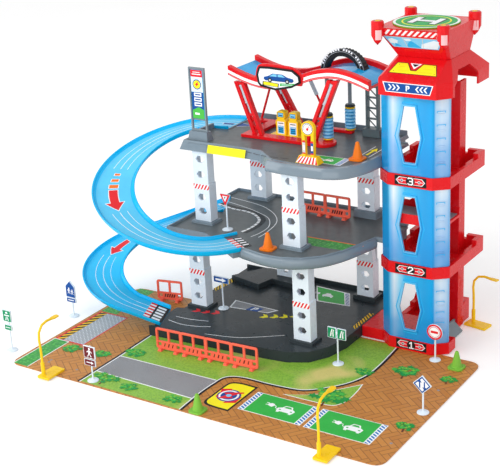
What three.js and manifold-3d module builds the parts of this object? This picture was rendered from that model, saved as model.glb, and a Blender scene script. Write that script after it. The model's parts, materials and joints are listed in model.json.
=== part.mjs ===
// Toy parking garage with a hand-moved lift, three decks, two curved ramps and a play mat.
// Millimetres, +Z up. X runs along the front edges, Y runs away from the viewer.
// The model is drawn from the front left corner of the lift tower, at the top of the play
// mat, and the finished group is moved so that its origin is at the middle of its footprint.
import * as THREE from 'three';
import { mergeVertices } from 'three/addons/utils/BufferGeometryUtils.js';
import Module from 'manifold-3d';

const wasm = await Module();
wasm.setup();

// Fits
const clearance = 0.3;
const slideGap = 1.5;
const overrun = 2;
const wall = 2;

// Levels: heights of the road on each deck above the play mat
const roadOne = 13;
const roadTwo = 117;
const roadThree = 215;
const deckPlate = 3;

// Lift tower
const towerFront = 52;
const towerBevelWidth = 15;
const towerBevelDepth = 12.5;
const towerDepth = 103;
const collarHeight = 13;
const collarDrop = 27;
const collarTwoBottom = roadTwo - collarDrop;
const collarThreeBottom = 190.6;
const capBottom = 289;
const collarWall = 4;
const postWidth = 46;
const postFromBack = 27;
const postFace = towerDepth - postFromBack;
const postDepth = 16;
const landingDepth = 14;
const shaftDepth = postFace - landingDepth;
const slotWidth = 9;
const shoulderRise = 5;
const shoulderDepth = 19;
const towerMiddle = towerFront / 2;
const towerLeft = -towerBevelWidth;
const towerRight = towerFront + towerBevelWidth;

// Deck outlines: their right ends keep their place beside the tower, so a wider deck reaches
// further left
const deckWidth = 234;
const bridgeLength = 9;
const deckRight = towerLeft - bridgeLength;
const deckLeft = deckRight - deckWidth;
const deckBack = 98;
const deckTwoFront = -80;
const deckThreeSetback = 8;
const deckThreeLeft = deckLeft + deckThreeSetback;
const deckThreeWidth = deckRight - deckThreeLeft;
const deckThreeBack = deckBack;
const deckThreeFront = -46;
const apronReach = 23.7;
const apronLeft = towerLeft - apronReach;
const baseFront = -102;
const baseWidth = apronLeft - clearance - deckLeft;
const deckLip = 3;
const deckDrop = 10;
const bridgeFront = 19;
const bridgeBack = 72;

// Play mat: it reaches past the decks at both ends
const matMargin = 232;
const matWidth = deckWidth + matMargin;
const matDepth = 236.5;
const matThickness = 1;
const matCorner = 14;
const matRight = 108;
const matBack = 7;
const matLeft = matRight - matWidth;
const matFront = matBack - matDepth;

// Ramp channels
const rampWidth = 50;
const rampWallRise = 3.6;
const rampFloor = 2.5;
const rampWall = 2;
const rampFlare = 3;
const upperRampInset = 28;
const lowerRampInset = 18;
const upperRamp = {
  startX: deckLeft + upperRampInset, startY: 63, heading: 4.6,
  leadIn: 20, radius: 87.3, turn: 233.2, leadOut: 13,
  high: roadThree, low: roadTwo, easeShare: 1, steps: 26,
};
const lowerRamp = {
  startX: deckLeft + lowerRampInset, startY: 45, heading: 23,
  leadIn: 96, radius: 49.8, turn: 177.6, leadOut: 38,
  high: roadTwo, low: roadOne, easeShare: 0, steps: 18,
};

// Columns
const columnWidth = 22;
const columnDepth = 14;
const columnWall = 2;
const columnStep = 1;
const columnHoleWidth = 11.5;
const columnHoleHeight = 7.8;
const plinthMargin = 4;
const plinthRise = 3;

// Lift
const trayFromBack = 17;
const trayDepth = shaftDepth - trayFromBack;
const trayWall = 2;
const trayFrontRise = 8;
const trayBackRise = 10;
const trayPlate = 3;
const trayRest = 147;
const trayMat = 1;
const stemWidth = 6;
const stemHeight = 6;
const gripWidth = 18;
const gripHeight = 9;
const gripDepth = 6;

// Exit flap
const flapHingeX = 45;
const flapLength = 15.5;
const flapFront = 30;
const flapWidth = postFace - wall - flapFront;
const flapThickness = 1.6;
const flapHingeHeight = 10.4;
const flapPinRadius = 1.2;
const flapKnuckle = 2.4;

// Covers
const coverThickness = 1.6;
const coverInset = 1.8;
const coverReturn = 4;
const windowFrame = 2.4;
const windowFrameRise = 1;

// Tower head
const capBand = 16;
const capOverhang = 5;
const capNeckHeight = 35;
const headHeight = 33;
const headFlare = 12;
const headPostRadius = 6.8;
const headPostHeight = 22;
const helipadRadius = 35;
const helipadThickness = 1.4;

// Canopy on the top deck
const canopyInset = 36.5;
const canopyLeft = deckThreeLeft + canopyInset;
const canopyLength = 180;
const canopyFront = 24;
const canopyBack = 88;
const canopyBeamDepth = 7;
const canopyBeamHeight = 10.5;
const canopySheet = 1.8;
const canopyBase = 3.5;
const legThickness = 4.5;
const legDepth = 6;
const legLattice = 1.8;
const pistonRadius = 2.1;
const pistonRodRadius = 1.3;
const badgeWidth = 57;
const badgeHeight = 26;
const badgeThickness = 2.4;
const tyreOuter = 29;
const tyreInner = 21.5;
const tyreWidth = 12;
const tyreTreads = 22;
const treadDepth = 1;

// Rollers
const rollerRadius = 6.2;
const rollerHeight = 27;
const rollerRibs = 5;
const rollerRibDepth = 0.8;
const spindleRadius = 2.2;
const rollerCap = 2.5;

// Street furniture
const lampHeight = 62;
const lampRadius = 1.5;
const lampBaseLength = 28;
const lampBaseWidth = 16;
const lampBaseHeight = 2.5;
const lampPostFromEnd = 6;
const lampPostFromSide = 4.5;
const lampSleeveHeight = 17;
const lampSleeveRadius = 2.3;
const lampReach = 32;
const lampBend = 8;
const lampHeadStart = 14;
const lampHeadWidth = 6;
const signHeight = 42;
const signPostRadius = 1;
const signFootRadius = 6.4;
const signFootHeight = 2;
const signThickness = 1.2;
const coneHeight = 20;
const coneHalfWidth = 8.2;
const coneFootHeight = 2.1;
const barrierWidth = 34;
const barrierHeight = 27;
const barrierThickness = 2.2;
const barrierRail = 2.6;
const barrierFootDepth = 12;
const barrierFootHeight = 3;

// Colours and finishes
const plastic = (color, extra = {}) =>
  new THREE.MeshStandardMaterial({ color, roughness: 0.35, metalness: 0, ...extra });
const red = plastic(0xd8232a);
const darkGrey = plastic(0x3d4144);
const midGrey = plastic(0x5d6266);
const lightGrey = plastic(0x8f979c);
const black = plastic(0x1d1d1f, { roughness: 0.6 });
const white = plastic(0xeef2f5);
const blue = plastic(0x2aa4e8);
const clearBlue = plastic(0x39b6f2, { transparent: true, opacity: 0.6, roughness: 0.15 });
const yellow = plastic(0xf6d31c);
const orange = plastic(0xf07a1e);
const leaf = plastic(0x73af3e);
const coral = plastic(0xe8503c);
const green = plastic(0x2fa34a);
const printed = plastic(0xb9803a, { roughness: 0.8 });

const garage = new THREE.Group();

// Adds one solid to the garage under its name
function place(name, solid, material) {
  const mesh = solid.getMesh();
  const geometry = new THREE.BufferGeometry();
  geometry.setAttribute('position', new THREE.BufferAttribute(mesh.vertProperties, mesh.numProp));
  geometry.setIndex(new THREE.BufferAttribute(mesh.triVerts, 1));
  geometry.computeVertexNormals();
  const node = new THREE.Mesh(geometry, material);
  node.name = name;
  garage.add(node);
  return node;
}

// Turns a closed three.js geometry into a solid that can be cut and joined
function solidOf(geometry) {
  const bare = geometry.clone();
  bare.deleteAttribute('normal');
  bare.deleteAttribute('uv');
  const merged = mergeVertices(bare, 1e-4);
  return new wasm.Manifold(new wasm.Mesh({
    numProp: 3,
    vertProperties: Float32Array.from(merged.attributes.position.array),
    triVerts: Uint32Array.from(merged.index.array),
  }));
}

const fuse = (...solids) => solids.reduce((all, one) => all.add(one));
const cut = (solid, ...tools) => tools.reduce((all, one) => all.subtract(one), solid);
const vectors = (points) => points.map(([x, y]) => new THREE.Vector2(x, y));

// Upright prism over an outline, which is a list of points or a THREE.Shape
function prism(outline, bottom, top, curveSegments = 6) {
  const shape = outline instanceof THREE.Shape ? outline : new THREE.Shape(vectors(outline));
  const geometry = new THREE.ExtrudeGeometry(shape, {
    depth: top - bottom, bevelEnabled: false, curveSegments,
  });
  geometry.translate(0, 0, bottom);
  return solidOf(geometry);
}

// Prism of an outline drawn in X and Z, standing between two values of Y
function slab(outline, front, back, curveSegments = 6) {
  const shape = outline instanceof THREE.Shape ? outline : new THREE.Shape(vectors(outline));
  const geometry = new THREE.ExtrudeGeometry(shape, {
    depth: back - front, bevelEnabled: false, curveSegments,
  });
  geometry.rotateX(Math.PI / 2);
  geometry.translate(0, back, 0);
  return solidOf(geometry);
}

function box(x0, x1, y0, y1, z0, z1) {
  const geometry = new THREE.BoxGeometry(x1 - x0, y1 - y0, z1 - z0);
  geometry.translate((x0 + x1) / 2, (y0 + y1) / 2, (z0 + z1) / 2);
  return solidOf(geometry);
}

// Upright cylinder or cone
function cylinder(x, y, z0, z1, radius, topRadius = radius, sides = 16) {
  const geometry = new THREE.CylinderGeometry(topRadius, radius, z1 - z0, sides);
  geometry.rotateX(Math.PI / 2);
  geometry.translate(x, y, (z0 + z1) / 2);
  return solidOf(geometry);
}

// Cylinder along Y
function crossPin(x, z, y0, y1, radius, sides = 16) {
  const geometry = new THREE.CylinderGeometry(radius, radius, y1 - y0, sides);
  geometry.translate(x, (y0 + y1) / 2, z);
  return solidOf(geometry);
}

// Revolved profile round an upright axis, as radius and height pairs
function revolve(x, y, profile, sides = 16) {
  const geometry = new THREE.LatheGeometry(vectors(profile), sides);
  geometry.rotateX(Math.PI / 2);
  geometry.translate(x, y, 0);
  return solidOf(geometry);
}

// Round bar between two points
function bar(from, to, radius, sides = 6) {
  const a = new THREE.Vector3(...from);
  const b = new THREE.Vector3(...to);
  const geometry = new THREE.CylinderGeometry(radius, radius, a.distanceTo(b), sides);
  const turn = new THREE.Quaternion().setFromUnitVectors(
    new THREE.Vector3(0, 1, 0), b.clone().sub(a).normalize());
  geometry.applyQuaternion(turn);
  const middle = a.add(b).multiplyScalar(1 / 2);
  geometry.translate(middle.x, middle.y, middle.z);
  return solidOf(geometry);
}

// Round bar that follows a smooth path through a list of points
const sweepSides = 6;

function sweep(points, radius, steps) {
  const path = new THREE.CatmullRomCurve3(points.map((point) => new THREE.Vector3(...point)));
  const ring = [];
  for (let i = 0; i < sweepSides; i += 1) {
    const angle = Math.PI * 2 * i / sweepSides;
    ring.push([radius * Math.cos(angle), radius * Math.sin(angle)]);
  }
  return solidOf(new THREE.ExtrudeGeometry(new THREE.Shape(vectors(ring)), {
    extrudePath: path, steps, bevelEnabled: false,
  }));
}

// Solid between a list of sections, each a closed ring of 3-D points
function loft(sections) {
  const ring = sections[0].length;
  const positions = sections.flat(2);
  const faces = [];
  for (let s = 0; s + 1 < sections.length; s += 1) {
    for (let i = 0; i < ring; i += 1) {
      const a = s * ring + i;
      const b = s * ring + (i + 1) % ring;
      faces.push(a, b, b + ring, a, b + ring, a + ring);
    }
  }
  const first = sections[0];
  const last = sections[sections.length - 1];
  const caps = (section) => {
    const origin = new THREE.Vector3(...section[0]);
    const normal = new THREE.Vector3();
    section.forEach((p, i) => {
      const q = section[(i + 1) % section.length];
      normal.x += (p[1] - q[1]) * (p[2] + q[2]);
      normal.y += (p[2] - q[2]) * (p[0] + q[0]);
      normal.z += (p[0] - q[0]) * (p[1] + q[1]);
    });
    normal.normalize();
    const side = new THREE.Vector3(...section[1]).sub(origin).normalize();
    const rise = normal.clone().cross(side);
    const flat = section.map((p) => {
      const v = new THREE.Vector3(...p).sub(origin);
      return new THREE.Vector2(v.dot(side), v.dot(rise));
    });
    return THREE.ShapeUtils.triangulateShape(flat, []);
  };
  for (const [a, b, c] of caps(first)) faces.push(c, b, a);
  const offset = (sections.length - 1) * ring;
  for (const [a, b, c] of caps(last)) faces.push(a + offset, b + offset, c + offset);
  const solid = new wasm.Manifold(new wasm.Mesh({
    numProp: 3,
    vertProperties: Float32Array.from(positions),
    triVerts: Uint32Array.from(faces),
  }));
  return solid;
}

const raise = (outline, z) => outline.map(([x, y]) => [x, y, z]);

// Moves every edge of a counter-clockwise outline inwards by one distance
function inset(outline, distance) {
  return outline.map((point, i) => {
    const before = outline[(i + outline.length - 1) % outline.length];
    const after = outline[(i + 1) % outline.length];
    const a = new THREE.Vector2(point[0] - before[0], point[1] - before[1]).normalize();
    const b = new THREE.Vector2(after[0] - point[0], after[1] - point[1]).normalize();
    const turn = 1 + a.dot(b);
    const x = point[0] + (-a.y - b.y) * distance / turn;
    const y = point[1] + (a.x + b.x) * distance / turn;
    return [x, y];
  });
}

// Outline from shares of a rectangle
const spread = (shares, x, y, width, depth) =>
  shares.map(([u, v]) => [x + u * width, y + v * depth]);

function roundedShape(points, radius) {
  const shape = new THREE.Shape();
  points.forEach((point, i) => {
    const before = points[(i + points.length - 1) % points.length];
    const after = points[(i + 1) % points.length];
    const corner = new THREE.Vector2(...point);
    const back = new THREE.Vector2(...before).sub(corner);
    const ahead = new THREE.Vector2(...after).sub(corner);
    const reach = Math.min(radius, back.length() / 2, ahead.length() / 2);
    const from = corner.clone().add(back.setLength(reach));
    const to = corner.clone().add(ahead.setLength(reach));
    if (i === 0) shape.moveTo(from.x, from.y);
    else shape.lineTo(from.x, from.y);
    shape.quadraticCurveTo(corner.x, corner.y, to.x, to.y);
  });
  shape.closePath();
  return shape;
}

const rectangle = (x0, x1, y0, y1) => [[x0, y0], [x1, y0], [x1, y1], [x0, y1]];

// Ramp: a straight lead-in, an arc and a straight lead-out, falling from high to low
function rampStations(ramp, side, extend = 0) {
  const toRadians = Math.PI / 180;
  const start = Math.PI + ramp.heading * toRadians;
  const arc = ramp.radius * ramp.turn * toRadians;
  const total = ramp.leadIn + arc + ramp.leadOut;
  const straight = 3;
  const stations = [];
  const add = (x, y, heading, travelled) => {
    const t = travelled / total;
    const eased = ramp.easeShare * (3 * t * t - 2 * t * t * t) + (1 - ramp.easeShare) * t;
    const fall = (ramp.high - ramp.low) * eased;
    stations.push({
      x: x + side * Math.sin(heading),
      y: y - side * Math.cos(heading),
      z: ramp.high - fall,
      heading,
    });
  };
  const cos = Math.cos(start);
  const sin = Math.sin(start);
  const x0 = ramp.startX;
  const y0 = ramp.startY;
  if (extend > 0) add(x0 - extend * cos, y0 - extend * sin, start, 0);
  for (let i = 0; i < straight; i += 1) {
    const s = ramp.leadIn * i / straight;
    add(x0 + s * cos, y0 + s * sin, start, s);
  }
  const centreX = x0 + ramp.leadIn * cos - ramp.radius * sin;
  const centreY = y0 + ramp.leadIn * sin + ramp.radius * cos;
  for (let i = 0; i <= ramp.steps; i += 1) {
    const heading = start + ramp.turn * toRadians * i / ramp.steps;
    add(centreX + ramp.radius * Math.sin(heading), centreY - ramp.radius * Math.cos(heading),
      heading, ramp.leadIn + arc * i / ramp.steps);
  }
  const end = start + ramp.turn * toRadians;
  const endX = centreX + ramp.radius * Math.sin(end);
  const endY = centreY - ramp.radius * Math.cos(end);
  for (let i = 1; i <= straight; i += 1) {
    const s = ramp.leadOut * i / straight;
    add(endX + s * Math.cos(end), endY + s * Math.sin(end), end, ramp.leadIn + arc + s);
  }
  if (extend > 0) {
    const s = ramp.leadOut + extend;
    add(endX + s * Math.cos(end), endY + s * Math.sin(end), end, total);
  }
  return stations;
}

// Cross-section of the channel: across the ramp, and up from the road
const rampSection = [
  [-rampWidth / 2 + rampFlare, -rampFloor],
  [rampWidth / 2 - rampFlare, -rampFloor],
  [rampWidth / 2 - rampFlare / 3, 0],
  [rampWidth / 2, rampWallRise],
  [rampWidth / 2 - rampWall, rampWallRise],
  [rampWidth / 2 - rampWall - rampFlare / 3, rampWallRise / 3],
  [rampWidth / 2 - rampWall - rampFlare, 0],
  [-rampWidth / 2 + rampWall + rampFlare, 0],
  [-rampWidth / 2 + rampWall + rampFlare / 3, rampWallRise / 3],
  [-rampWidth / 2 + rampWall, rampWallRise],
  [-rampWidth / 2, rampWallRise],
  [-rampWidth / 2 + rampFlare / 3, 0],
];

function rampSolid(ramp) {
  const middle = rampStations(ramp, 0).reverse();
  const sections = middle.map((station) => rampSection.map(([u, v]) => [
    station.x + u * Math.sin(station.heading),
    station.y - u * Math.cos(station.heading),
    station.z + v,
  ]));
  return loft(sections);
}

// Room that the first or last stretch of a ramp needs in the deck that carries it
const roomStations = 6;

function rampRoom(ramp, atStart, bottom, top) {
  const pick = (list) => (atStart ? list.slice(0, roomStations) : list.slice(-roomStations));
  const outer = pick(rampStations(ramp, rampWidth / 2 + clearance, clearance));
  const inner = pick(rampStations(ramp, -rampWidth / 2 - clearance, clearance));
  const outline = [...outer, ...inner.reverse()].map(({ x, y }) => [x, y]);
  return prism(outline, bottom, top);
}

// Ledge of a deck under the end of a ramp, reaching back into the deck
const ledgeReach = 8;
const ledgeRoot = 3.5;
const ledgeMargin = 6;

function rampLedge(ramp, atStart, ledgeTop, bottom) {
  const half = rampWidth / 2 - ledgeMargin;
  const stations = rampStations(ramp, 0);
  const end = atStart ? stations[0] : stations[stations.length - 1];
  const along = atStart ? 1 : -1;
  const dx = Math.cos(end.heading) * along;
  const dy = Math.sin(end.heading) * along;
  const corner = (reach, side) => [end.x + dx * reach - dy * side * half,
    end.y + dy * reach + dx * side * half];
  const outline = [corner(-ledgeRoot, -1), corner(ledgeReach, -1), corner(ledgeReach, 1),
    corner(-ledgeRoot, 1)];
  return prism(outline, bottom, ledgeTop);
}

// Play mat
function playMat() {
  const outline = roundedShape(rectangle(matLeft, matRight, matFront, matBack), matCorner);
  place('play_mat', prism(outline, -matThickness, 0), printed);
}

// Plan of the lift tower with its bevelled front corners
const towerOutline = [
  [0, 0], [towerFront, 0], [towerRight, towerBevelDepth], [towerRight, towerDepth],
  [towerLeft, towerDepth], [towerLeft, towerBevelDepth],
];

// Part of the tower plan that lies in front of a line along X
function frontPlan(distance, back) {
  const plan = inset(towerOutline, distance);
  return [plan[0], plan[1], plan[2], [plan[2][0], back], [plan[5][0], back], plan[5]];
}

const shaftPlan = frontPlan(collarWall, shaftDepth);
const trayPlan = frontPlan(collarWall + slideGap, collarWall + slideGap + trayDepth);
const slotLeft = towerMiddle - slotWidth / 2;
const slotRight = towerMiddle + slotWidth / 2;

function slotCut(bottom, top) {
  return box(slotLeft, slotRight, shaftDepth - overrun, towerDepth + towerMiddle,
    bottom, top + overrun);
}

// Rear post of one storey: a back plate with two flanges and the slot for the lift stem
function rearPost(bottom, top) {
  const left = towerMiddle - postWidth / 2;
  const right = towerMiddle + postWidth / 2;
  const flange = wall + wall / 2;
  const body = box(left, right, postFace, postFace + postDepth, bottom, top);
  const hollow = box(left + flange, right - flange, postFace + flange,
    postFace + postDepth + overrun, bottom - overrun, top + overrun);
  return cut(body, hollow, slotCut(bottom, top));
}

// Collar of one storey: a ring round the shaft with a landing behind it
function collar(bottom, floorRise) {
  const top = bottom + collarHeight;
  const rim = collarWall + wall;
  const landing = inset(towerOutline, rim).map(([x, y]) => [x, Math.max(y, shaftDepth)]);
  const landingPlan = [landing[5], landing[2], landing[3], landing[4]];
  const body = prism(towerOutline, bottom, top);
  const shoulders = [
    [towerLeft, towerMiddle - postWidth / 2],
    [towerMiddle + postWidth / 2, towerRight],
  ].map(([x0, x1]) => box(x0, x1, towerDepth - shoulderDepth, towerDepth,
    top - overrun, top + shoulderRise));
  const tray = prism(landingPlan, bottom + floorRise, top + shoulderRise + overrun);
  return { solid: cut(fuse(body, ...shoulders), tray), top };
}

// First storey with its floor, its apron towards the base deck and the seat of the exit flap
const apronFront = 10;
const apronBack = 60;
const flapAngle = Math.asin((flapHingeHeight + matThickness)
  / Math.hypot(flapLength, flapThickness / 2)) - Math.atan2(flapThickness / 2, flapLength);
const exitFront = flapFront - clearance;
const exitBack = flapFront + flapWidth + clearance;
const exitSide = towerMiddle + postWidth / 2 - wall;
const pitFloor = flapHingeHeight + flapKnuckle;
const blockRise = 24;
const blockReach = 10;
const pinReach = 2.4;

function towerSectionOne() {
  const { solid, top } = collar(0, collarHeight / 2);
  const exitGap = box(exitSide, towerRight + overrun, exitFront, towerDepth + overrun,
    -overrun, top + shoulderRise + overrun);
  const flapSeat = box(flapHingeX - flapKnuckle, exitSide + overrun, exitFront, exitBack,
    -overrun, top + overrun);
  const pit = prism(shaftPlan, pitFloor, top + overrun);
  const pinHole = crossPin(flapHingeX, flapHingeHeight, exitFront - pinReach - clearance,
    exitBack + pinReach + clearance, flapPinRadius + clearance / 2, 12);
  const apron = prism(rectangle(apronLeft, towerLeft + wall, apronFront, apronBack), 0, roadOne);
  const rearFront = postFace + postDepth - wall;
  const rearBack = towerDepth + blockReach;
  const rear = loft([towerLeft, exitSide].map((x) => [
    [x, rearFront, -matThickness], [x, rearBack, -matThickness], [x, rearBack, blockRise],
    [x, rearFront + blockReach, blockRise], [x, rearFront, blockRise / 2],
  ]));
  const hollowPlan = inset(frontPlan(collarWall, shaftDepth), wall);
  const underside = cut(prism(hollowPlan, -overrun, pitFloor - deckPlate),
    box(flapHingeX - flapKnuckle * 2, towerRight, 0, towerDepth, -overrun, pitFloor));
  const underApron = box(apronLeft + wall, towerLeft - wall, apronFront + wall,
    apronBack - wall, -overrun, roadOne - deckPlate);
  const body = cut(fuse(solid, apron), pit, underside, underApron);
  const post = rearPost(0, collarTwoBottom);
  const gripRoom = gripWidth / 2 + slideGap;
  const notch = box(towerMiddle - gripRoom, towerMiddle + gripRoom, towerDepth,
    rearBack + overrun, wall, blockRise + overrun);
  place('tower_section_1', cut(fuse(cut(body, exitGap), rear, post), flapSeat, pinHole, notch,
    slotCut(roadOne, collarTwoBottom)), red);
}

function towerSection(name, bottom, postTop) {
  const { solid, top } = collar(bottom, wall);
  const shaft = prism(shaftPlan, bottom - overrun, top + overrun);
  const body = fuse(cut(solid, shaft), rearPost(bottom, postTop));
  place(name, cut(body, slotCut(bottom - overrun, postTop)), red);
}

// Clear cover of one storey: a folded sheet with a framed six-sided window
const windowShares = [[0.36, 0.16], [0.62, 0.16], [0.73, 0.49], [0.61, 0.87], [0.36, 0.87], [0.24, 0.49]];
const ladderShares = [0.2, 0.4, 0.6, 0.8];

function cover(name, bottom, top) {
  const back = towerBevelDepth + coverReturn;
  const outer = frontPlan(coverInset, back);
  const inner = frontPlan(coverInset + coverThickness, back + overrun);
  const sheet = cut(prism(outer, bottom, top), prism(inner, bottom - overrun, top + overrun));
  const left = outer[0][0];
  const right = outer[1][0];
  const opening = spread(windowShares, left, bottom, right - left, top - bottom);
  const frame = inset(opening, -windowFrame);
  const face = outer[0][1];
  const raised = slab(frame, face - windowFrameRise, face + coverThickness);
  const hole = slab(opening, face - overrun, face + coverThickness + overrun);
  const stepLength = towerBevelWidth / 2;
  const rungs = ladderShares.map((share) => {
    const z = bottom + share * (top - bottom);
    const rung = box(-stepLength / 2, stepLength / 2, -windowFrameRise, coverThickness / 2,
      -windowFrameRise / 2, windowFrameRise / 2);
    const angle = Math.atan2(towerBevelDepth, towerBevelWidth) * 180 / Math.PI;
    const x = (outer[1][0] + outer[2][0]) / 2;
    const y = (outer[1][1] + outer[2][1]) / 2;
    return rung.rotate([0, 0, angle]).translate([x, y, z]);
  });
  place(name, cut(fuse(sheet, raised, ...rungs), hole), clearBlue);
}

// Roof cap: a hollow hood with a label band and arched ways out on both sides
const capLeft = towerLeft + collarWall;
const capWidth = 81;
const capDepth = towerDepth + capOverhang;
const capTop = capBottom + capNeckHeight;
const bandShares = [[0.05, 0], [0.85, 0], [1, 0.13], [1, 1], [0, 1], [0, 0.08]];
const neckShares = [
  [0.16, 0.27], [0.83, 0.27], [0.87, 0.31], [0.87, 0.76], [0.12, 0.76], [0.12, 0.31],
];
const archShares = [[0, 0], [1, 0], [1, 0.55], [0.78, 1], [0.3, 1], [0, 0.5]];
const band = spread(bandShares, capLeft, -capOverhang, capWidth, capDepth);
const neck = spread(neckShares, capLeft, -capOverhang, capWidth, capDepth);

function roofCap() {
  const bandTop = capBottom + capBand;
  const hood = loft([
    raise(band, capBottom),
    raise(band, bandTop),
    raise(neck, capTop),
  ]);
  const inside = loft([
    raise(inset(band, wall), capBottom - overrun),
    raise(inset(band, wall), bandTop - wall),
    raise(inset(neck, wall), capTop - wall),
  ]);
  const arch = spread(archShares, towerBevelDepth + wall, capBottom - overrun,
    bridgeBack - towerBevelDepth, capBand + capBand / 2 + overrun);
  const way = loft([capLeft - overrun, capLeft + capWidth + overrun].map((x) =>
    arch.map(([y, z]) => [x, y, z])));
  place('roof_cap', cut(hood, inside, way), red);
}

// Control room: a flared head with a recessed window, four lamp posts and a helipad
const headLeft = capLeft - headFlare / 4;
const headWidth = 78;
const headFront = 2;
const headDepth = 82;
const headTop = capTop + headHeight;
const headChamfer = 2;
const glassShares = [[0.17, 0.3], [0.83, 0.3], [0.94, 0.72], [0.06, 0.72]];

// Section of the head between the neck and the top, by its share of the height
function headSection(share, forward, down = 0) {
  const wide = [
    [headLeft + headChamfer, headFront], [headLeft + headWidth - headChamfer, headFront],
    [headLeft + headWidth, headFront + headChamfer], [headLeft + headWidth, headFront + headDepth],
    [headLeft, headFront + headDepth], [headLeft, headFront + headChamfer],
  ];
  const base = inset(neck, clearance);
  return raise(wide.map(([x, y], i) => [
    base[i][0] + (x - base[i][0]) * share,
    base[i][1] + (y - base[i][1]) * share + forward,
  ]), capTop + share * headHeight - down);
}

function controlRoom() {
  const body = loft([headSection(0, 0), headSection(1, 0)]);
  const postSides = 10;
  const posts = [headLeft, headLeft + headWidth].flatMap((x) =>
    [headFront, headFront + headDepth].map((y) => {
      const inX = x < towerMiddle ? headPostRadius / 3 : -headPostRadius / 3;
      const inY = y < headDepth / 2 ? headPostRadius / 3 : -headPostRadius / 3;
      const top = headTop + headPostRadius;
      const low = top - headPostHeight;
      return revolve(x + inX, y + inY, [
        [0, low - headPostRadius / 2], [headPostRadius / 2, low],
        [headPostRadius, low + headPostRadius], [headPostRadius, top - wall / 2],
        [headPostRadius - wall / 2, top], [0, top],
      ], postSides);
    }));
  const lean = wall / 2;
  const behind = loft([headSection(0, lean), headSection(1, lean, -overrun)]);
  const opening = spread(glassShares, headLeft, capTop, headWidth, headHeight);
  const pocket = cut(slab(opening, -headFlare, headDepth / 2), behind);
  place('control_room', cut(fuse(body, ...posts), pocket), red);
  const centreX = headLeft + headWidth / 2;
  const centreY = headFront + headDepth / 2;
  place('helipad_disc', cylinder(centreX, centreY, headTop, headTop + helipadThickness,
    helipadRadius, helipadRadius, 40), green);
}

// Hollow column with six-sided holes and a step at half height
const columnHoleShares = [0.13, 0.32, 0.62, 0.82];
const holeShares = [[0.25, 0], [0.75, 0], [1, 0.5], [0.75, 1], [0.25, 1], [0, 0.5]];

function column(name, x, y, bottom, top) {
  const middle = (bottom + top) / 2;
  const right = x + columnWidth;
  const back = y + columnDepth;
  const lower = box(x, right, y, back, bottom, middle);
  const upper = box(x + columnStep / 2, right - columnStep, y + columnStep / 2,
    back - columnStep / 2, middle - overrun, top);
  const channel = box(x + columnWall + columnStep, right - columnWall - columnStep,
    y + columnWall + columnStep, back + overrun, bottom - overrun, top + overrun);
  const holes = columnHoleShares.map((share) => slab(
    spread(holeShares, x + columnWidth / 2 - columnHoleWidth / 2,
      bottom + share * (top - bottom) - columnHoleHeight / 2, columnHoleWidth, columnHoleHeight),
    y - overrun, y + columnWall * 2));
  place(name, cut(fuse(lower, upper), channel, ...holes), white);
}

// Raised foot on a deck round the end of a column
function plinth(x, y, road, rise) {
  const seat = rectangle(x, x + columnWidth, y, y + columnDepth);
  const foot = inset(seat, -plinthMargin);
  const body = loft([
    raise(foot, road - wall / 2),
    raise(inset(foot, wall / 4), road + rise),
  ]);
  return cut(body, prism(inset(seat, -clearance), road + plinthRise, road + rise + overrun));
}

// Places of the columns, as shares of the deck frame
const columnFrame = [deckLeft, deckTwoFront, deckWidth, deckBack - deckTwoFront];
const columnPlaceShares = {
  column_1_front_left: [0.053, 0.266],
  column_1_front_right: [0.731, 0.111],
  column_1_rear_left: [0.269, 0.9],
  column_1_rear_right: [0.761, 0.871],
  column_2_front_left: [0.077, 0.334],
  column_2_front_right: [0.656, 0.188],
  column_2_rear_left: [0.137, 0.888],
  column_2_rear_right: [0.769, 0.882],
};
const plinthRises = { column_1_rear_right: 5, column_2_rear_right: 9 };
const columnPlaces = Object.fromEntries(Object.entries(columnPlaceShares).map(
  ([name, [u, v]]) => [name, spread([[u, v]], ...columnFrame)[0]]));

const deckUnderside = (road) => road - deckDrop;
const columnSink = 6;
const columnTop = (road, sink) => deckUnderside(road) + sink;

function columns() {
  for (const [name, [x, y]] of Object.entries(columnPlaces)) {
    const first = name.startsWith('column_1');
    const bottom = (first ? roadOne : roadTwo) + plinthRise;
    const top = first ? columnTop(roadTwo, columnSink / 2) : columnTop(roadThree, columnSink);
    column(name, x, y, bottom, top);
  }
}

function plinths(level, road) {
  return Object.entries(columnPlaces)
    .filter(([name]) => name.startsWith(`column_${level}`))
    .map(([name, [x, y]]) => plinth(x, y, road, plinthRises[name] ?? plinthRise));
}

// Sockets under a deck for the heads of the columns: blocks to add and pockets to cut
function columnHeads(level) {
  return Object.entries(columnPlaces)
    .filter(([name]) => name.startsWith(`column_${level}`))
    .map(([, [x, y]]) => rectangle(x, x + columnWidth, y, y + columnDepth));
}

function sockets(level, road) {
  return columnHeads(level).map((head) =>
    prism(inset(head, -wall), deckUnderside(road), road - deckPlate / 2));
}

function pockets(level, road, top) {
  return columnHeads(level).map((head) =>
    prism(inset(head, -clearance), deckUnderside(road) - overrun, top + clearance));
}

// Deck as a tray: plate, fascia below and lip above, all following one outline
function deckBody(outline, road, drop, lip, flare) {
  const bottom = road - drop;
  const outside = loft([raise(inset(outline, -flare), bottom), raise(outline, road + lip)]);
  const above = prism(inset(outline, wall), road, road + lip + overrun);
  const below = prism(inset(outline, wall), bottom - overrun, road - deckPlate);
  return cut(outside, above, below);
}

// Stiffening ribs below a deck plate, kept inside its outline
const ribColumns = 4;
const ribRows = 3;

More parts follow.
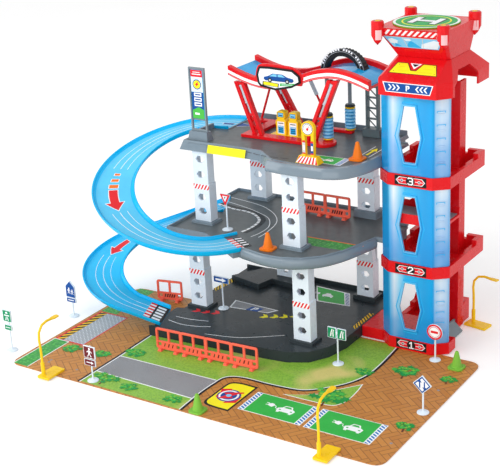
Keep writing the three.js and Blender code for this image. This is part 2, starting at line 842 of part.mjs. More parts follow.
function ribs(outline, road, drop, x, y, width, depth) {
  const bottom = road - drop / 2 - deckPlate;
  const top = road - deckPlate / 2;
  const along = [];
  for (let i = 1; i < ribColumns; i += 1) {
    const at = x + width * i / ribColumns;
    along.push(box(at - wall / 2, at + wall / 2, y, y + depth, bottom, top));
  }
  for (let i = 1; i < ribRows; i += 1) {
    const at = y + depth * i / ribRows;
    along.push(box(x, x + width, at - wall / 2, at + wall / 2, bottom, top));
  }
  return fuse(...along).intersect(prism(inset(outline, wall / 2), bottom, top));
}

// Base deck
const baseShares = [
  [-0.005, 0.01], [0.695, 0.06], [0.81, 0.075], [0.91, 0.13], [0.97, 0.235], [1, 0.385],
  [1, 1], [0.035, 1], [0.035, 0.3], [-0.005, 0.29],
];
const baseOutline = spread(baseShares, deckLeft, baseFront, baseWidth, deckBack - baseFront);
const blockShares = [
  [0, 0], [0.42, -0.02], [0.52, 0.2], [0.78, 0.22], [0.78, 0.55], [0.62, 0.85], [0.36, 0.85],
  [0.24, 0.66],
];
const blockInset = 46;
const blockLeft = deckLeft + blockInset;
const blockFront = 5;
const blockSize = 66;
const blockTop = 44;
const blockLip = 8;

function baseDeck() {
  const body = deckBody(baseOutline, roadOne, roadOne, 0, 0);
  const block = spread(blockShares, blockLeft, blockFront, blockSize, blockSize);
  const raised = fuse(prism(inset(block, wall), roadOne - wall, blockTop),
    prism(block, blockTop - blockLip, blockTop));
  const underBlock = prism(inset(block, wall * 2), -overrun, blockTop - wall);
  const rearWall = box(baseOutline[7][0], baseOutline[6][0], deckBack - wall, deckBack,
    roadOne - wall, roadOne + deckLip + wall);
  const stiff = ribs(baseOutline, roadOne, roadOne, deckLeft, baseFront, baseWidth,
    deckBack - baseFront);
  const feet = [baseOutline[7][0], baseOutline[6][0] - shoulderDepth].map((x) =>
    box(x, x + shoulderDepth, deckBack - shoulderDepth, deckBack, -matThickness, wall));
  const room = rampRoom(lowerRamp, false, -overrun, roadOne + deckDrop);
  const ledge = rampLedge(lowerRamp, false, roadOne - rampFloor, 0);
  const solid = cut(fuse(body, raised, rearWall, stiff, ...plinths(1, roadOne), ...feet),
    underBlock, room);
  place('base_deck', fuse(solid, ledge), darkGrey);
}

// How far the lower ramp has fallen at the edge of its ledge
function lowerFall() {
  const toRadians = Math.PI / 180;
  const length = lowerRamp.leadIn + lowerRamp.leadOut + lowerRamp.radius * lowerRamp.turn * toRadians;
  return (lowerRamp.high - lowerRamp.low) * ledgeReach / length + clearance;
}

// Middle deck
const deckTwoShares = [
  [0, 0.146], [0.222, 0.146], [0.36, 0.06], [0.53, 0.034], [0.624, 0.006], [0.718, 0.006],
  [0.812, 0.05], [0.889, 0.14], [0.944, 0.281], [0.979, 0.449], [1, 0.556], [1.054, 0.556],
  [1.054, 0.854], [1, 0.854], [1, 1], [0, 1],
];
const deckTwoDepth = deckBack - deckTwoFront;
const deckTwoOutline = spread(deckTwoShares, deckLeft, deckTwoFront, deckWidth, deckTwoDepth);
deckTwoOutline[11] = [towerLeft + collarWall - clearance, bridgeFront];
deckTwoOutline[12] = [towerLeft + collarWall - clearance, bridgeBack];
deckTwoOutline[10] = [deckRight, bridgeFront];
deckTwoOutline[13] = [deckRight, bridgeBack];

function bridgeCut(x, road) {
  return box(x - wall * 2, towerLeft + collarWall + overrun, bridgeFront + wall,
    bridgeBack - wall, road, road + deckDrop);
}

function deckTwo() {
  const body = deckBody(deckTwoOutline, roadTwo, deckDrop, deckLip, wall / 2);
  const stiff = ribs(deckTwoOutline, roadTwo, deckDrop, deckLeft, deckTwoFront, deckWidth,
    deckTwoDepth);
  const underBridge = box(deckRight + clearance, towerMiddle,
    bridgeFront - overrun, bridgeBack + overrun, roadTwo - deckDrop * 2, roadTwo - deckPlate);
  const rest = box(towerLeft + clearance, towerLeft + collarWall - clearance,
    bridgeFront + wall, bridgeBack - wall, collarTwoBottom + collarHeight + clearance,
    roadTwo - deckPlate / 2);
  const solid = cut(
    fuse(cut(body, underBridge), rest, stiff, ...plinths(2, roadTwo), ...sockets(1, roadTwo)),
    bridgeCut(deckRight, roadTwo),
    ...pockets(1, roadTwo, columnTop(roadTwo, columnSink / 2)),
    rampRoom(lowerRamp, true, roadTwo - deckDrop * 2, roadTwo + deckDrop * 2),
    rampRoom(upperRamp, false, roadTwo - deckDrop * 2, roadTwo + deckDrop * 2));
  const fall = lowerFall();
  const ledges = [
    rampLedge(lowerRamp, true, roadTwo - rampFloor - fall, roadTwo - deckDrop),
    rampLedge(upperRamp, false, roadTwo - rampFloor, roadTwo - deckDrop),
  ];
  place('deck_two', fuse(solid, ...ledges), midGrey);
}

// Top deck
const deckThreeShares = [
  [0, 0.18], [0.46, 0.18], [0.584, 0.021], [0.735, 0], [0.903, 0.021], [0.969, 0.083],
  [1.009, 0.201], [1.027, 0.333], [1.031, 0.441], [1.04, 0.451], [1.04, 0.819], [1, 0.819], [1, 1],
  [0.097, 1], [0.097, 0.604], [0, 0.604],
];
const deckThreeDepth = deckThreeBack - deckThreeFront;
const deckThreeOutline = spread(deckThreeShares, deckThreeLeft, deckThreeFront,
  deckThreeWidth, deckThreeDepth);
const bridgeEnd = towerLeft + collarWall - clearance;
deckThreeOutline[9] = [bridgeEnd, bridgeFront];
deckThreeOutline[10] = [bridgeEnd, bridgeBack];
deckThreeOutline[11] = [deckRight, bridgeBack];
const deckThreeLip = 1;
const rearWallRise = 6;
const parapetShares = [[0, 0.36], [0.012, 0.36], [0.02, 0.6], [0.005, 0.6]];

function deckThree() {
  const body = deckBody(deckThreeOutline, roadThree, deckDrop, deckThreeLip, wall * 2);
  const stiff = ribs(deckThreeOutline, roadThree, deckDrop, deckThreeLeft, deckThreeFront,
    deckThreeWidth, deckThreeDepth);
  const rearWall = box(deckThreeOutline[13][0], deckRight, deckThreeBack - wall,
    deckThreeBack, roadThree - wall, roadThree + rearWallRise);
  const parapet = prism(spread(parapetShares, deckThreeLeft, deckThreeFront, deckThreeWidth,
    deckThreeDepth), roadThree - wall, roadThree + rearWallRise);
  const collarTop = collarThreeBottom + collarHeight;
  const underBridge = box(deckRight - wall * 2, towerMiddle,
    bridgeFront - deckDrop, deckThreeBack + deckDrop, roadThree - deckDrop * 2,
    Math.max(collarTop + clearance, roadThree - deckPlate));
  const pad = pylonPad();
  const solid = cut(
    fuse(cut(body, underBridge), rearWall, parapet, stiff, pad, ...sockets(2, roadThree)),
    bridgeCut(deckRight, roadThree),
    ...pockets(2, roadThree, columnTop(roadThree, columnSink)),
    rampRoom(upperRamp, true, roadThree - deckDrop * 2, roadThree + deckDrop * 2));
  const ledge = rampLedge(upperRamp, true, roadThree - rampFloor - clearance,
    roadThree - deckDrop);
  place('deck_three', fuse(solid, ledge), midGrey);
}

// Pylon sign on the front left corner of the top deck
const pylonHeight = 84;
const pylonWidth = 22;
const pylonFoot = 28;
const pylonFootDepth = 13;
const pylonFootRise = 10;
const pylonPost = 2.4;
const pylonBoard = 1.6;
const pylonX = deckThreeLeft + wall;
const pylonY = -15;

function pylonPad() {
  const foot = rectangle(pylonX, pylonX + pylonFoot, pylonY, pylonY + pylonFootDepth);
  return loft([
    raise(foot, roadThree - wall),
    raise(inset(foot, wall), roadThree + pylonFootRise),
  ]);
}

function pylon() {
  const left = pylonX + (pylonFoot - pylonWidth) / 2;
  const right = left + pylonWidth;
  const y = pylonY + pylonFootDepth / 2;
  const bottom = roadThree + pylonFootRise;
  const top = bottom + pylonHeight - pylonFootRise;
  const posts = [left, right - pylonPost].map((x) =>
    box(x, x + pylonPost, y - pylonPost / 2, y + pylonPost / 2, bottom, top));
  const head = box(left, right, y - pylonPost / 2, y + pylonPost / 2, top - pylonPost, top);
  const foot = box(left, right, y - pylonPost / 2, y + pylonPost / 2, bottom, bottom + wall);
  const boardBottom = bottom + pylonHeight / 6;
  const sill = box(left, right, y - pylonPost / 2, y + pylonPost / 2,
    boardBottom - pylonPost / 2, boardBottom);
  place('pylon_frame', fuse(...posts, head, foot, sill), lightGrey);
  place('pylon_board', box(left + pylonPost + clearance, right - pylonPost - clearance,
    y - pylonBoard / 2, y + pylonBoard / 2, boardBottom + clearance,
    top - pylonPost - clearance), blue);
}

// Lift tray with bevelled front, low walls and a carriage that reaches to the rear post
function liftTray() {
  const bottom = trayRest;
  const floor = bottom + trayPlate;
  const back = trayPlan[3][1];
  const body = prism(trayPlan, bottom, floor + trayFrontRise);
  const inner = inset(trayPlan, trayWall);
  const open = [inner[0], inner[1], inner[2], [trayPlan[2][0] + overrun, inner[2][1]],
    [trayPlan[2][0] + overrun, inner[3][1]], [trayPlan[5][0] - overrun, inner[4][1]],
    [trayPlan[5][0] - overrun, inner[5][1]], inner[5]];
  const room = prism(open, floor, floor + trayFrontRise + overrun);
  const left = trayPlan[4][0];
  const right = trayPlan[3][0];
  const span = right - left;
  const backShares = [[0.1, 0], [0.9, 0], [0.9, 0.55], [0.8, 1], [0.2, 1], [0.1, 0.55]];
  const backWall = slab(spread(backShares, left, floor - wall, span, trayBackRise + wall),
    back - trayWall, back);
  const guideHalf = postWidth / 4;
  const carriage = box(towerMiddle - guideHalf, towerMiddle + guideHalf, back - trayWall / 2,
    postFace - clearance, bottom, floor + wall);
  const stem = box(towerMiddle - stemWidth / 2, towerMiddle + stemWidth / 2,
    postFace - overrun, towerDepth + slideGap, bottom, bottom + stemHeight);
  const peg = stemWidth / 4;
  const socketHole = crossPin(towerMiddle, bottom + stemHeight / 2, towerDepth - deckDrop,
    towerDepth + slideGap + overrun, peg + clearance / 2, 12);
  place('lift_tray', cut(fuse(cut(body, room), backWall, carriage, stem), socketHole), red);
  const floorPlan = inset(trayPlan, trayWall + clearance);
  place('lift_floor', prism(floorPlan, floor, floor + trayMat), lightGrey);
  const gripY = towerDepth + slideGap + clearance;
  const half = gripWidth / 2 - gripHeight / 2;
  const middleZ = bottom + stemHeight / 2;
  const outline = new THREE.Shape();
  outline.absarc(towerMiddle + half, middleZ, gripHeight / 2, -Math.PI / 2, Math.PI / 2, false);
  outline.absarc(towerMiddle - half, middleZ, gripHeight / 2, Math.PI / 2, Math.PI * 3 / 2, false);
  const grip = slab(outline, gripY, gripY + gripDepth, 6);
  const pin = crossPin(towerMiddle, middleZ, towerDepth - deckDrop + clearance, gripY + wall,
    peg, 12);
  place('lift_grip', fuse(grip, pin), black);
}

// Exit flap: a plate on a pin, resting on the floor
function exitFlap() {
  const front = flapFront;
  const back = flapFront + flapWidth;
  const length = flapLength;
  const tilt = flapAngle * 180 / Math.PI;
  const plateFront = front + clearance;
  const plateBack = back - clearance;
  const plate = box(0, length, plateFront, plateBack, -flapThickness, 0);
  const lip = box(length - wall, length, plateFront, plateBack, -flapThickness, 0);
  const knuckle = crossPin(0, -flapThickness / 2, plateFront, plateBack, flapKnuckle - clearance * 2, 12);
  const pin = crossPin(0, -flapThickness / 2, front - pinReach, back + pinReach,
    flapPinRadius, 12);
  const flap = fuse(plate, lip, knuckle, pin)
    .translate([0, 0, flapThickness / 2])
    .rotate([0, tilt, 0])
    .translate([flapHingeX, 0, flapHingeHeight]);
  place('exit_flap', flap, lightGrey);
}

// Canopy: a low stand with slanted lattice legs, a wavy frame, a sheet and a sign
const waveShares = [
  [0, 0.62], [0.06, 0.42], [0.14, 0.2], [0.22, 0.06], [0.3, 0.02], [0.4, 0.12], [0.5, 0.38],
  [0.6, 0.75], [0.7, 0.96], [0.78, 1], [0.86, 0.9], [0.94, 0.7], [1, 0.5],
];
const waveRise = 68;
const waveLow = roadThree + waveRise;
const waveHeight = 20;

function waveHeightAt(share) {
  const curve = new THREE.SplineCurve(vectors(waveShares));
  let low = 0;
  let high = 1;
  for (let i = 0; i < 24; i += 1) {
    const middle = (low + high) / 2;
    if (curve.getPoint(middle).x < share) low = middle;
    else high = middle;
  }
  return waveLow + curve.getPoint(low).y * waveHeight;
}

// Band that follows the wave between two heights below its top line
function waveBand(front, back, below, thickness, fromShare = 0, toShare = 1, steps = 18) {
  const top = [];
  for (let i = 0; i <= steps; i += 1) {
    const share = fromShare + (toShare - fromShare) * i / steps;
    top.push([canopyLeft + share * canopyLength, waveHeightAt(share) - below]);
  }
  const under = top.map(([x, z]) => [x, z - thickness]).reverse();
  return slab([...under.reverse(), ...top.reverse()], front, back);
}

const crossShares = [0.02, 0.98];
const sheetEndShares = [0.005, 0.995];

function canopy() {
  const beamIn = canopyBeamDepth;
  const frontBeam = waveBand(canopyFront, canopyFront + beamIn, 0, canopyBeamHeight);
  const rearBeam = waveBand(canopyBack - beamIn, canopyBack, 0, canopyBeamHeight);
  const crossBar = canopyBeamDepth / 2;
  const sheetBelow = canopyBeamHeight / 2;
  const crosses = crossShares.map((share) => {
    const x = canopyLeft + share * canopyLength;
    const z = waveHeightAt(share) - sheetBelow - canopySheet - clearance * 4;
    return box(x - crossBar / 2, x + crossBar / 2, canopyFront + beamIn / 2,
      canopyBack - beamIn / 2, z - crossBar, z);
  });
  place('canopy_frame', fuse(frontBeam, rearBeam, ...crosses), red);
  place('canopy_sheet', waveBand(canopyFront + beamIn + clearance,
    canopyBack - beamIn - clearance, sheetBelow, canopySheet, ...sheetEndShares), blue);
}

// Slanted leg: two strands joined by crossing braces, with a piston in the upper half
const braceShares = [[0.04, 0.2], [0.2, 0.04], [0.2, 0.38], [0.38, 0.2]];
const pistonShares = [0.36, 0.6, 0.98];
const pistonSeatShares = [0.38, 0.97];

function legFrame(foot, head, y, spacing) {
  const [footX, footZ] = foot;
  const [headX, headZ] = head;
  const at = (share, side) => [
    footX + (headX - footX) * share + side * spacing / 2,
    y,
    footZ + (headZ - footZ) * share,
  ];
  const strand = (side) => {
    const a = at(0, side);
    const b = at(1, side);
    const half = legThickness / 2;
    return slab([[a[0] - half, a[2]], [a[0] + half, a[2]], [b[0] + half, b[2]],
      [b[0] - half, b[2]]], y - legDepth / 2, y + legDepth / 2);
  };
  const braces = braceShares.map(([from, to]) => {
    const a = at(from, -1);
    const b = at(to, 1);
    const half = legLattice / 2;
    return slab([[a[0], a[2] - half], [b[0], b[2] - half], [b[0], b[2] + half],
      [a[0], a[2] + half]], y - legLattice / 2, y + legLattice / 2);
  });
  const [rodShare, barrelShare, endShare] = pistonShares;
  const rod = bar(at(rodShare, 0), at(endShare, 0), pistonRodRadius);
  const barrel = bar(at(barrelShare, 0), at(endShare, 0), pistonRadius);
  const seats = pistonSeatShares.map((share) => {
    const a = at(share, -1);
    const b = at(share, 1);
    const half = legThickness / 3;
    return slab([[a[0], a[2] - half], [b[0], b[2] - half], [b[0], b[2] + half],
      [a[0], a[2] + half]], y - legDepth / 3, y + legDepth / 3);
  });
  return fuse(strand(-1), strand(1), ...braces, rod, barrel, ...seats);
}

const legFootShares = { frontLeft: 0.2, frontRight: 0.585, rearLeft: 0.3 };
const legHeadShares = { frontLeft: 0.075, frontRight: 0.755, rearLeft: 0.12 };
const strutFootShares = [0.02, 0.55];
const strutHeadShares = [0.13, 0.4];
const frontBarShares = [0.1, 0.66];
const rearBarShares = [0.01, 0.72];
const padShare = 0.67;
const strutWidth = 3;
const padRadius = 14;
const baseBarWidth = 14;

function canopyStand() {
  const bottom = roadThree + clearance;
  const top = bottom + canopyBase;
  const share = (value) => canopyLeft + value * canopyLength;
  const frontY = canopyFront + canopyBeamDepth / 2;
  const rearY = canopyBack - canopyBeamDepth / 2;
  const headZ = (value) => waveHeightAt(value) - canopyBeamHeight - clearance;
  const [barLeft, barRight] = frontBarShares.map(share);
  const frontBar = box(barLeft, barRight, canopyFront - baseBarWidth / 2,
    canopyFront + baseBarWidth / 2, bottom, top);
  const rearBar = box(...rearBarShares.map(share), canopyBack - baseBarWidth / 2 - wall * 2,
    canopyBack - wall * 2, bottom, top);
  const sideBar = box(barLeft, barLeft + baseBarWidth, canopyFront, rearY, bottom, top);
  const pad = cylinder(share(padShare), frontY + wall, bottom, top, padRadius, padRadius, 18);
  const legs = ['frontLeft', 'frontRight', 'rearLeft'].map((name) => {
    const y = name === 'rearLeft' ? rearY : frontY;
    const headShare = legHeadShares[name];
    return legFrame([share(legFootShares[name]), top - wall / 2],
      [share(headShare), headZ(headShare) - wall], y, legThickness * 2);
  });
  const struts = strutFootShares.map((value, i) => {
    const head = strutHeadShares[i];
    const a = [share(value), rearY, top - wall / 2];
    const b = [share(head), rearY, headZ(head) - wall];
    return fuse(bar(a, b, strutWidth / 2), bar(
      [(a[0] + b[0] * 2) / 3, rearY, (a[2] + b[2] * 2) / 3], b, pistonRadius));
  });
  const trim = waveBand(canopyFront - overrun, canopyBack + overrun, 0,
    canopyBeamHeight + clearance);
  const floorTrim = box(canopyLeft - padRadius, canopyLeft + canopyLength,
    canopyFront - padRadius * 2, canopyBack + overrun, bottom - overrun * 4, bottom);
  const solid = cut(fuse(frontBar, rearBar, sideBar, pad, ...legs, ...struts), trim, floorTrim);
  place('canopy_stand', solid, red);
  return top;
}

// Sign panel in the front beam
const badgeShares = [
  [0, 0.62], [0.03, 0.25], [0.08, 0.12], [0.42, 0], [0.8, 0.18], [1, 0.42], [0.98, 0.72],
  [0.82, 0.96], [0.3, 1], [0.06, 0.98],
];

const badgeStartShare = 0.222;
const badgeSeatShare = 0.38;
const badgeDrop = 11.5;

function canopyBadge() {
  const left = canopyLeft + canopyLength * badgeStartShare;
  const bottom = waveHeightAt(badgeSeatShare) - badgeDrop;
  const outline = spread(badgeShares, left, bottom, badgeWidth, badgeHeight);
  const y = canopyFront - clearance;
  const rim = cut(
    slab(outline, y - badgeThickness, y),
    slab(inset(outline, wall), y - badgeThickness - overrun, y - badgeThickness * 2 / 3));
  place('canopy_badge', rim, white);
}

// Half tyre that stands on the canopy
const tyreCentreShare = 0.717;
const tyreSeatShare = 0.735;

function tyreArch() {
  const centreX = canopyLeft + canopyLength * tyreCentreShare;
  const y = (canopyFront + canopyBack) / 2 + tyreWidth / 4;
  const outline = new THREE.Shape();
  const treads = tyreTreads;
  const seat = waveHeightAt(tyreSeatShare) - canopyBeamHeight / 2 + clearance;
  for (let i = 0; i <= treads * 2; i += 1) {
    const angle = Math.PI * i / (treads * 2);
    const radius = tyreOuter - (i % 2) * treadDepth;
    const x = centreX + radius * Math.cos(angle);
    const z = radius * Math.sin(angle);
    if (i === 0) outline.moveTo(x, z);
    else outline.lineTo(x, z);
  }
  outline.lineTo(centreX - tyreInner, 0);
  outline.absarc(centreX, 0, tyreInner, Math.PI, 0, true);
  outline.closePath();
  const sink = canopyBeamHeight;
  const arch = slab(outline, y, y + tyreWidth, 14).translate([0, 0, seat - sink]);
  const sheet = waveBand(y - overrun, y + tyreWidth + overrun, canopyBeamHeight / 2 - clearance,
    waveHeight * 3, 0, 1);
  place('tyre_arch', cut(arch, sheet), black);
}

// Ribbed rollers on upright spindles
const rollerPlaceShares = [[0.675, 0.237], [0.7, 1]];

function rollers(standTop) {
  rollerPlaceShares.forEach(([u, v], i) => {
    const x = canopyLeft + u * canopyLength;
    const y = canopyFront + v * (canopyBack - canopyFront - canopyBeamDepth);
    const name = i === 0 ? 'front' : 'rear';
    const bottom = standTop + clearance * 2;
    const top = bottom + rollerHeight;
    const bore = spindleRadius + clearance;
    const profile = [[bore, bottom], [rollerRadius, bottom]];
    const pitch = (rollerHeight - wall * 2) / rollerRibs;
    for (let r = 0; r < rollerRibs; r += 1) {
      const z = bottom + wall + r * pitch;
      profile.push([rollerRadius, z], [rollerRadius + rollerRibDepth, z + pitch / 3]);
      profile.push([rollerRadius + rollerRibDepth, z + pitch * 2 / 3]);
    }
    profile.push([rollerRadius, top - wall], [rollerRadius, top], [bore, top], [bore, bottom]);
    place(`roller_${name}`, revolve(x, y, profile, 10), blue);
    const share = (x - canopyLeft) / canopyLength;
    const sheetUnder = waveHeightAt(share) - canopyBeamHeight / 2 - canopySheet - clearance * 2;
    const beamUnder = waveHeightAt(share) - canopyBeamHeight - clearance * 2;
    const underBeam = y > canopyBack - canopyBeamDepth - spindleRadius * 2;
    const head = (underBeam ? beamUnder : sheetUnder) - wall / 2;
    const spindle = fuse(
      cylinder(x, y, standTop, head, spindleRadius, spindleRadius, 12),
      cylinder(x, y, top + clearance * 2, top + clearance * 2 + rollerCap, rollerRadius,
        rollerRadius - wall / 2, 16));
    place(`spindle_${name}`, spindle, lightGrey);
  });
}

// Open lattice tower beside the canopy
const trussShare = 0.82;
const trussX = canopyLeft + canopyLength * trussShare;
const trussWidth = 16;
const trussDepth = 9;
const trussGap = 10;
const trussBays = 5;
const trussPost = 2.6;
const trussPad = 3;
const trussPadRise = 9;
const trussHeight = 70;

function trussTower() {
  const back = deckThreeBack - wall - trussGap;
  const front = back - trussDepth;
  const foot = rectangle(trussX - trussPad, trussX + trussWidth + trussPad,
    front - trussPad, back);
  const bottom = roadThree + clearance;
  const pedestal = loft([raise(foot, bottom), raise(inset(foot, wall / 4), bottom + trussPadRise)]);
  const low = bottom + trussPadRise;
  const high = low + trussHeight - trussPadRise;
  const left = trussX;
  const right = trussX + trussWidth;
  const posts = [left, right - trussPost].map((x) =>
    box(x, x + trussPost, front, back - trussPad, low - wall, high));
  const braces = [];
  for (let i = 0; i < trussBays; i += 1) {
    const z0 = low + (high - low) * i / trussBays;
    const z1 = low + (high - low) * (i + 1) / trussBays;
    const a = left + trussPost / 2;
    const b = right - trussPost / 2;
    const half = trussPost / 3;
    braces.push(slab([[a, z1 - half], [b, z0 - half], [b, z0 + half], [a, z1 + half]],
      front + trussPost / 2, front + trussPost));
    braces.push(box(a, b, front + trussPost / 2, back - trussPad - trussPost / 2,
      z1 - half * 2, z1));
  }
  place('truss_tower', fuse(pedestal, ...posts, ...braces), darkGrey);
}

// Fuel pump island: two pumps with rounded heads on one plate
const pumpInset = 48;
const pumpX = canopyLeft + pumpInset;
const pumpY = 31;
const pumpPlateWidth = 42;
const pumpPlateDepth = 18;
const pumpPlateHeight = 3;
const pumpWidth = 13;
const pumpDepth = 9;
const pumpHeight = 28;
const pumpPitch = 16;
const hoseRadius = 0.9;
const hoseReach = 2.2;
const hoseShares = [0.25, 0.58];
const pumpOutlineShares = [
  [0, 0], [1, 0], [1, 0.6], [0.84, 0.68], [0.9, 0.74], [0.9, 0.95], [0.78, 1], [0.22, 1],
  [0.1, 0.95], [0.1, 0.74], [0.16, 0.68], [0, 0.6],
];

function fuelPumps() {
  const bottom = roadThree + clearance;
  const plate = prism(roundedShape(rectangle(pumpX, pumpX + pumpPlateWidth, pumpY,
    pumpY + pumpPlateDepth), wall), bottom, bottom + pumpPlateHeight, 3);
  const first = pumpX + (pumpPlateWidth - pumpPitch - pumpWidth) / 2;
  const pumps = [0, 1].map((i) => {
    const x = first + i * pumpPitch;
    const y = pumpY + (pumpPlateDepth - pumpDepth) / 2;
    const body = slab(spread(pumpOutlineShares, x, bottom + pumpPlateHeight - wall / 2, pumpWidth,
      pumpHeight), y, y + pumpDepth);
    const side = i === 0 ? -1 : 1;
    const edge = i === 0 ? x : x + pumpWidth;
    const [low, high] = hoseShares.map((share) => bottom + pumpPlateHeight + pumpHeight * share);
    const out = edge + side * hoseReach;
    const middle = y + pumpDepth / 2;
    const inside = edge - side * hoseRadius * 2;
    const hose = sweep([
      [inside, middle, low], [edge, middle, low], [out, middle, low + hoseRadius * 3],
      [out, middle, high - hoseRadius * 3], [edge, middle, high], [inside, middle, high],
    ], hoseRadius, 10);
    return fuse(body, hose);
  });
  place('fuel_pumps', fuse(plate, ...pumps), yellow);
}

// Air gauge stand with two bottles on its back plate
const gaugeInset = 64;
const gaugeX = deckRight - gaugeInset;
const gaugeY = -41.8;
const gaugeWidth = 28;
const gaugeDepth = 13;
const gaugeFootRise = 8;
const gaugeHeight = 46;
const gaugeLeg = 3.6;
const gaugeDial = 8;
const gaugeThickness = 5;
const gaugeFootSpread = 6.8;
const gaugeHeadSpread = 4;

function gaugeStand() {
  const bottom = roadThree + clearance;
  const foot = rectangle(gaugeX, gaugeX + gaugeWidth, gaugeY, gaugeY + gaugeDepth);
  const base = loft([
    raise(foot, bottom),
    raise(inset(foot, gaugeDepth / 4), bottom + gaugeFootRise),
  ]);
  const middle = gaugeX + gaugeWidth / 2;
  const y = gaugeY + (gaugeDepth - gaugeThickness) / 2;
  const low = bottom + gaugeFootRise - wall / 2;
  const high = bottom + gaugeHeight - gaugeDial;
  const legs = [-1, 1].map((side) => {
    const x = middle + side * gaugeFootSpread;
    const inner = middle + side * gaugeHeadSpread;
    return slab([
      [Math.min(x, x - side * gaugeLeg), low], [Math.max(x, x - side * gaugeLeg), low],
      [Math.max(inner, inner + side * gaugeLeg), high],
      [Math.min(inner, inner + side * gaugeLeg), high],
    ], y, y + gaugeThickness);
  });
  const dial = crossPin(middle, high, y, y + gaugeThickness, gaugeDial, 20);
  place('gauge_stand', fuse(base, ...legs, dial), yellow);
}

// Traffic cone on a square foot with cut corners; its profile is in shares of half its width
// and of its height
const coneProfileShares = [[0.72, 0.06], [0.3, 0.85], [0.22, 0.97], [0.12, 1]];

function cone(name, x, y, ground, material) {
  const foot = coneHalfWidth;
  const corner = coneHalfWidth / 3;
  const plan = [
    [-foot + corner, -foot], [foot - corner, -foot], [foot, -foot + corner],
    [foot, foot - corner], [foot - corner, foot], [-foot + corner, foot],
    [-foot, foot - corner], [-foot, -foot + corner],
  ].map(([dx, dy]) => [x + dx, y + dy]);
  const profile = coneProfileShares.map(([u, v]) => [foot * u, ground + coneHeight * v]);
  const body = revolve(x, y, [[0, profile[0][1]], ...profile, [0, ground + coneHeight]], 16);
  place(name, fuse(prism(plan, ground, ground + coneFootHeight), body), material);
}

// Street lamp: flat foot with a notched end, thick socket, post and an arm that bends over the
// foot and ends in a long drop-shaped head
function lamp(name, x, y, ground, turn) {
  const foot = prism(roundedShape(rectangle(-lampPostFromEnd, lampBaseLength - lampPostFromEnd,
    lampPostFromSide - lampBaseWidth, lampPostFromSide), wall / 2), 0, lampBaseHeight, 2);
  const sleeve = cylinder(0, 0, lampBaseHeight / 2, lampSleeveHeight, lampSleeveRadius,
    lampSleeveRadius, 10);
  const top = lampHeight - lampRadius;
  const arm = sweep([
    [0, 0, lampBaseHeight], [0, 0, lampHeight / 2], [0, 0, top - lampBend],
    [lampBend, 0, top], [lampHeadStart + lampBend, 0, top],
  ], lampRadius, 9);
  const middle = (lampHeadStart + lampReach) / 2;
  const head = loft([
    [lampHeadStart, lampRadius, 0], [middle, lampHeadWidth, lampRadius / 2],
    [lampReach - lampRadius, lampHeadWidth, lampRadius / 2], [lampReach, lampHeadWidth / 2, 0],
  ].map(([u, width, drop]) => [
    [u, -width / 2, top - drop], [u, width / 2, top - drop],
    [u, width / 2, top + lampRadius / 2], [u, -width / 2, top + lampRadius / 2],
  ]));
  place(name, fuse(foot, sleeve, arm, head).rotate([0, 0, turn])
    .translate([x, y, ground]), yellow);
}

// Road sign: round foot, thin post and a plate of a given outline in X and Z
function sign(name, x, y, ground, height, plates) {
  const foot = revolve(x, y, [
    [0, ground], [signFootRadius, ground], [signFootRadius, ground + signFootHeight / 2],
    [signPostRadius * 2, ground + signFootHeight], [0, ground + signFootHeight],
  ], 14);
  const post = cylinder(x, y, ground + signFootHeight / 2, ground + height, signPostRadius,
    signPostRadius, 6);
  const faces = plates.map((outline) =>
    slab(outline.map(([u, v]) => [x + u, ground + v]), y - signPostRadius - signThickness,
      y - signPostRadius / 2));
  place(name, fuse(foot, post, ...faces), white);
}

function disc(radius, height, sides = 20) {
  const points = [];
  for (let i = 0; i < sides; i += 1) {
    const angle = Math.PI * 2 * i / sides;
    points.push([radius * Math.cos(angle), height + radius * Math.sin(angle)]);
  }
  return points;
}

const plate = (left, right, bottom, top) =>
  [[left, bottom], [right, bottom], [right, top], [left, top]];

// Barrier panels in a row: rails, windows, slots and two feet each
const barrierSill = 11.3;
const barrierHoleHeight = 4.2;
const barrierHoleDrop = 2.1;
const barrierFootInset = 4;

function barriers(name, count, x, y, ground, turn = 0) {
  const panels = [];
  const pitch = barrierWidth - barrierRail / 2;
  for (let i = 0; i < count; i += 1) {
    const left = i * pitch;
    const right = left + barrierWidth;
    const middle = (left + right) / 2;
    const rail = barrierRail;
    const sill = barrierSill;
    const holeTop = sill - barrierHoleDrop;
    const holeBottom = holeTop - barrierHoleHeight;
    const back = barrierThickness;
    const outline = roundedShape(rectangle(left, right, barrierFootHeight / 2, barrierHeight),
      rail);
    const windows = [[left + rail, middle - rail / 2], [middle + rail / 2, right - rail]].map(
      ([x0, x1]) => box(x0, x1, -overrun, back + overrun, sill, barrierHeight - rail));
    const holes = [left + rail, right - rail - barrierHoleHeight].map((x0) =>
      box(x0, x0 + barrierHoleHeight, -overrun, back + overrun, holeBottom, holeTop));
    const slots = [-1, 0, 1].map((n) => {
      const at = middle + n * rail * 2;
      return slab([[at - rail / 2, holeBottom], [at, holeBottom], [at + rail / 2, holeTop],
        [at, holeTop]], -overrun, back + overrun);
    });
    const feet = [left + barrierFootInset, right - barrierFootInset - rail * 2].map((x0) => {
      const sole = rectangle(x0, x0 + rail * 2, (back - barrierFootDepth) / 2,
        (back + barrierFootDepth) / 2);
      return loft([raise(sole, 0), raise(inset(sole, rail / 3), barrierFootHeight)]);
    });
    panels.push(fuse(cut(slab(outline, 0, back, 2), ...windows, ...holes, ...slots), ...feet));
  }
  place(name, fuse(...panels).rotate([0, 0, turn]).translate([x, y, ground]), coral);
}

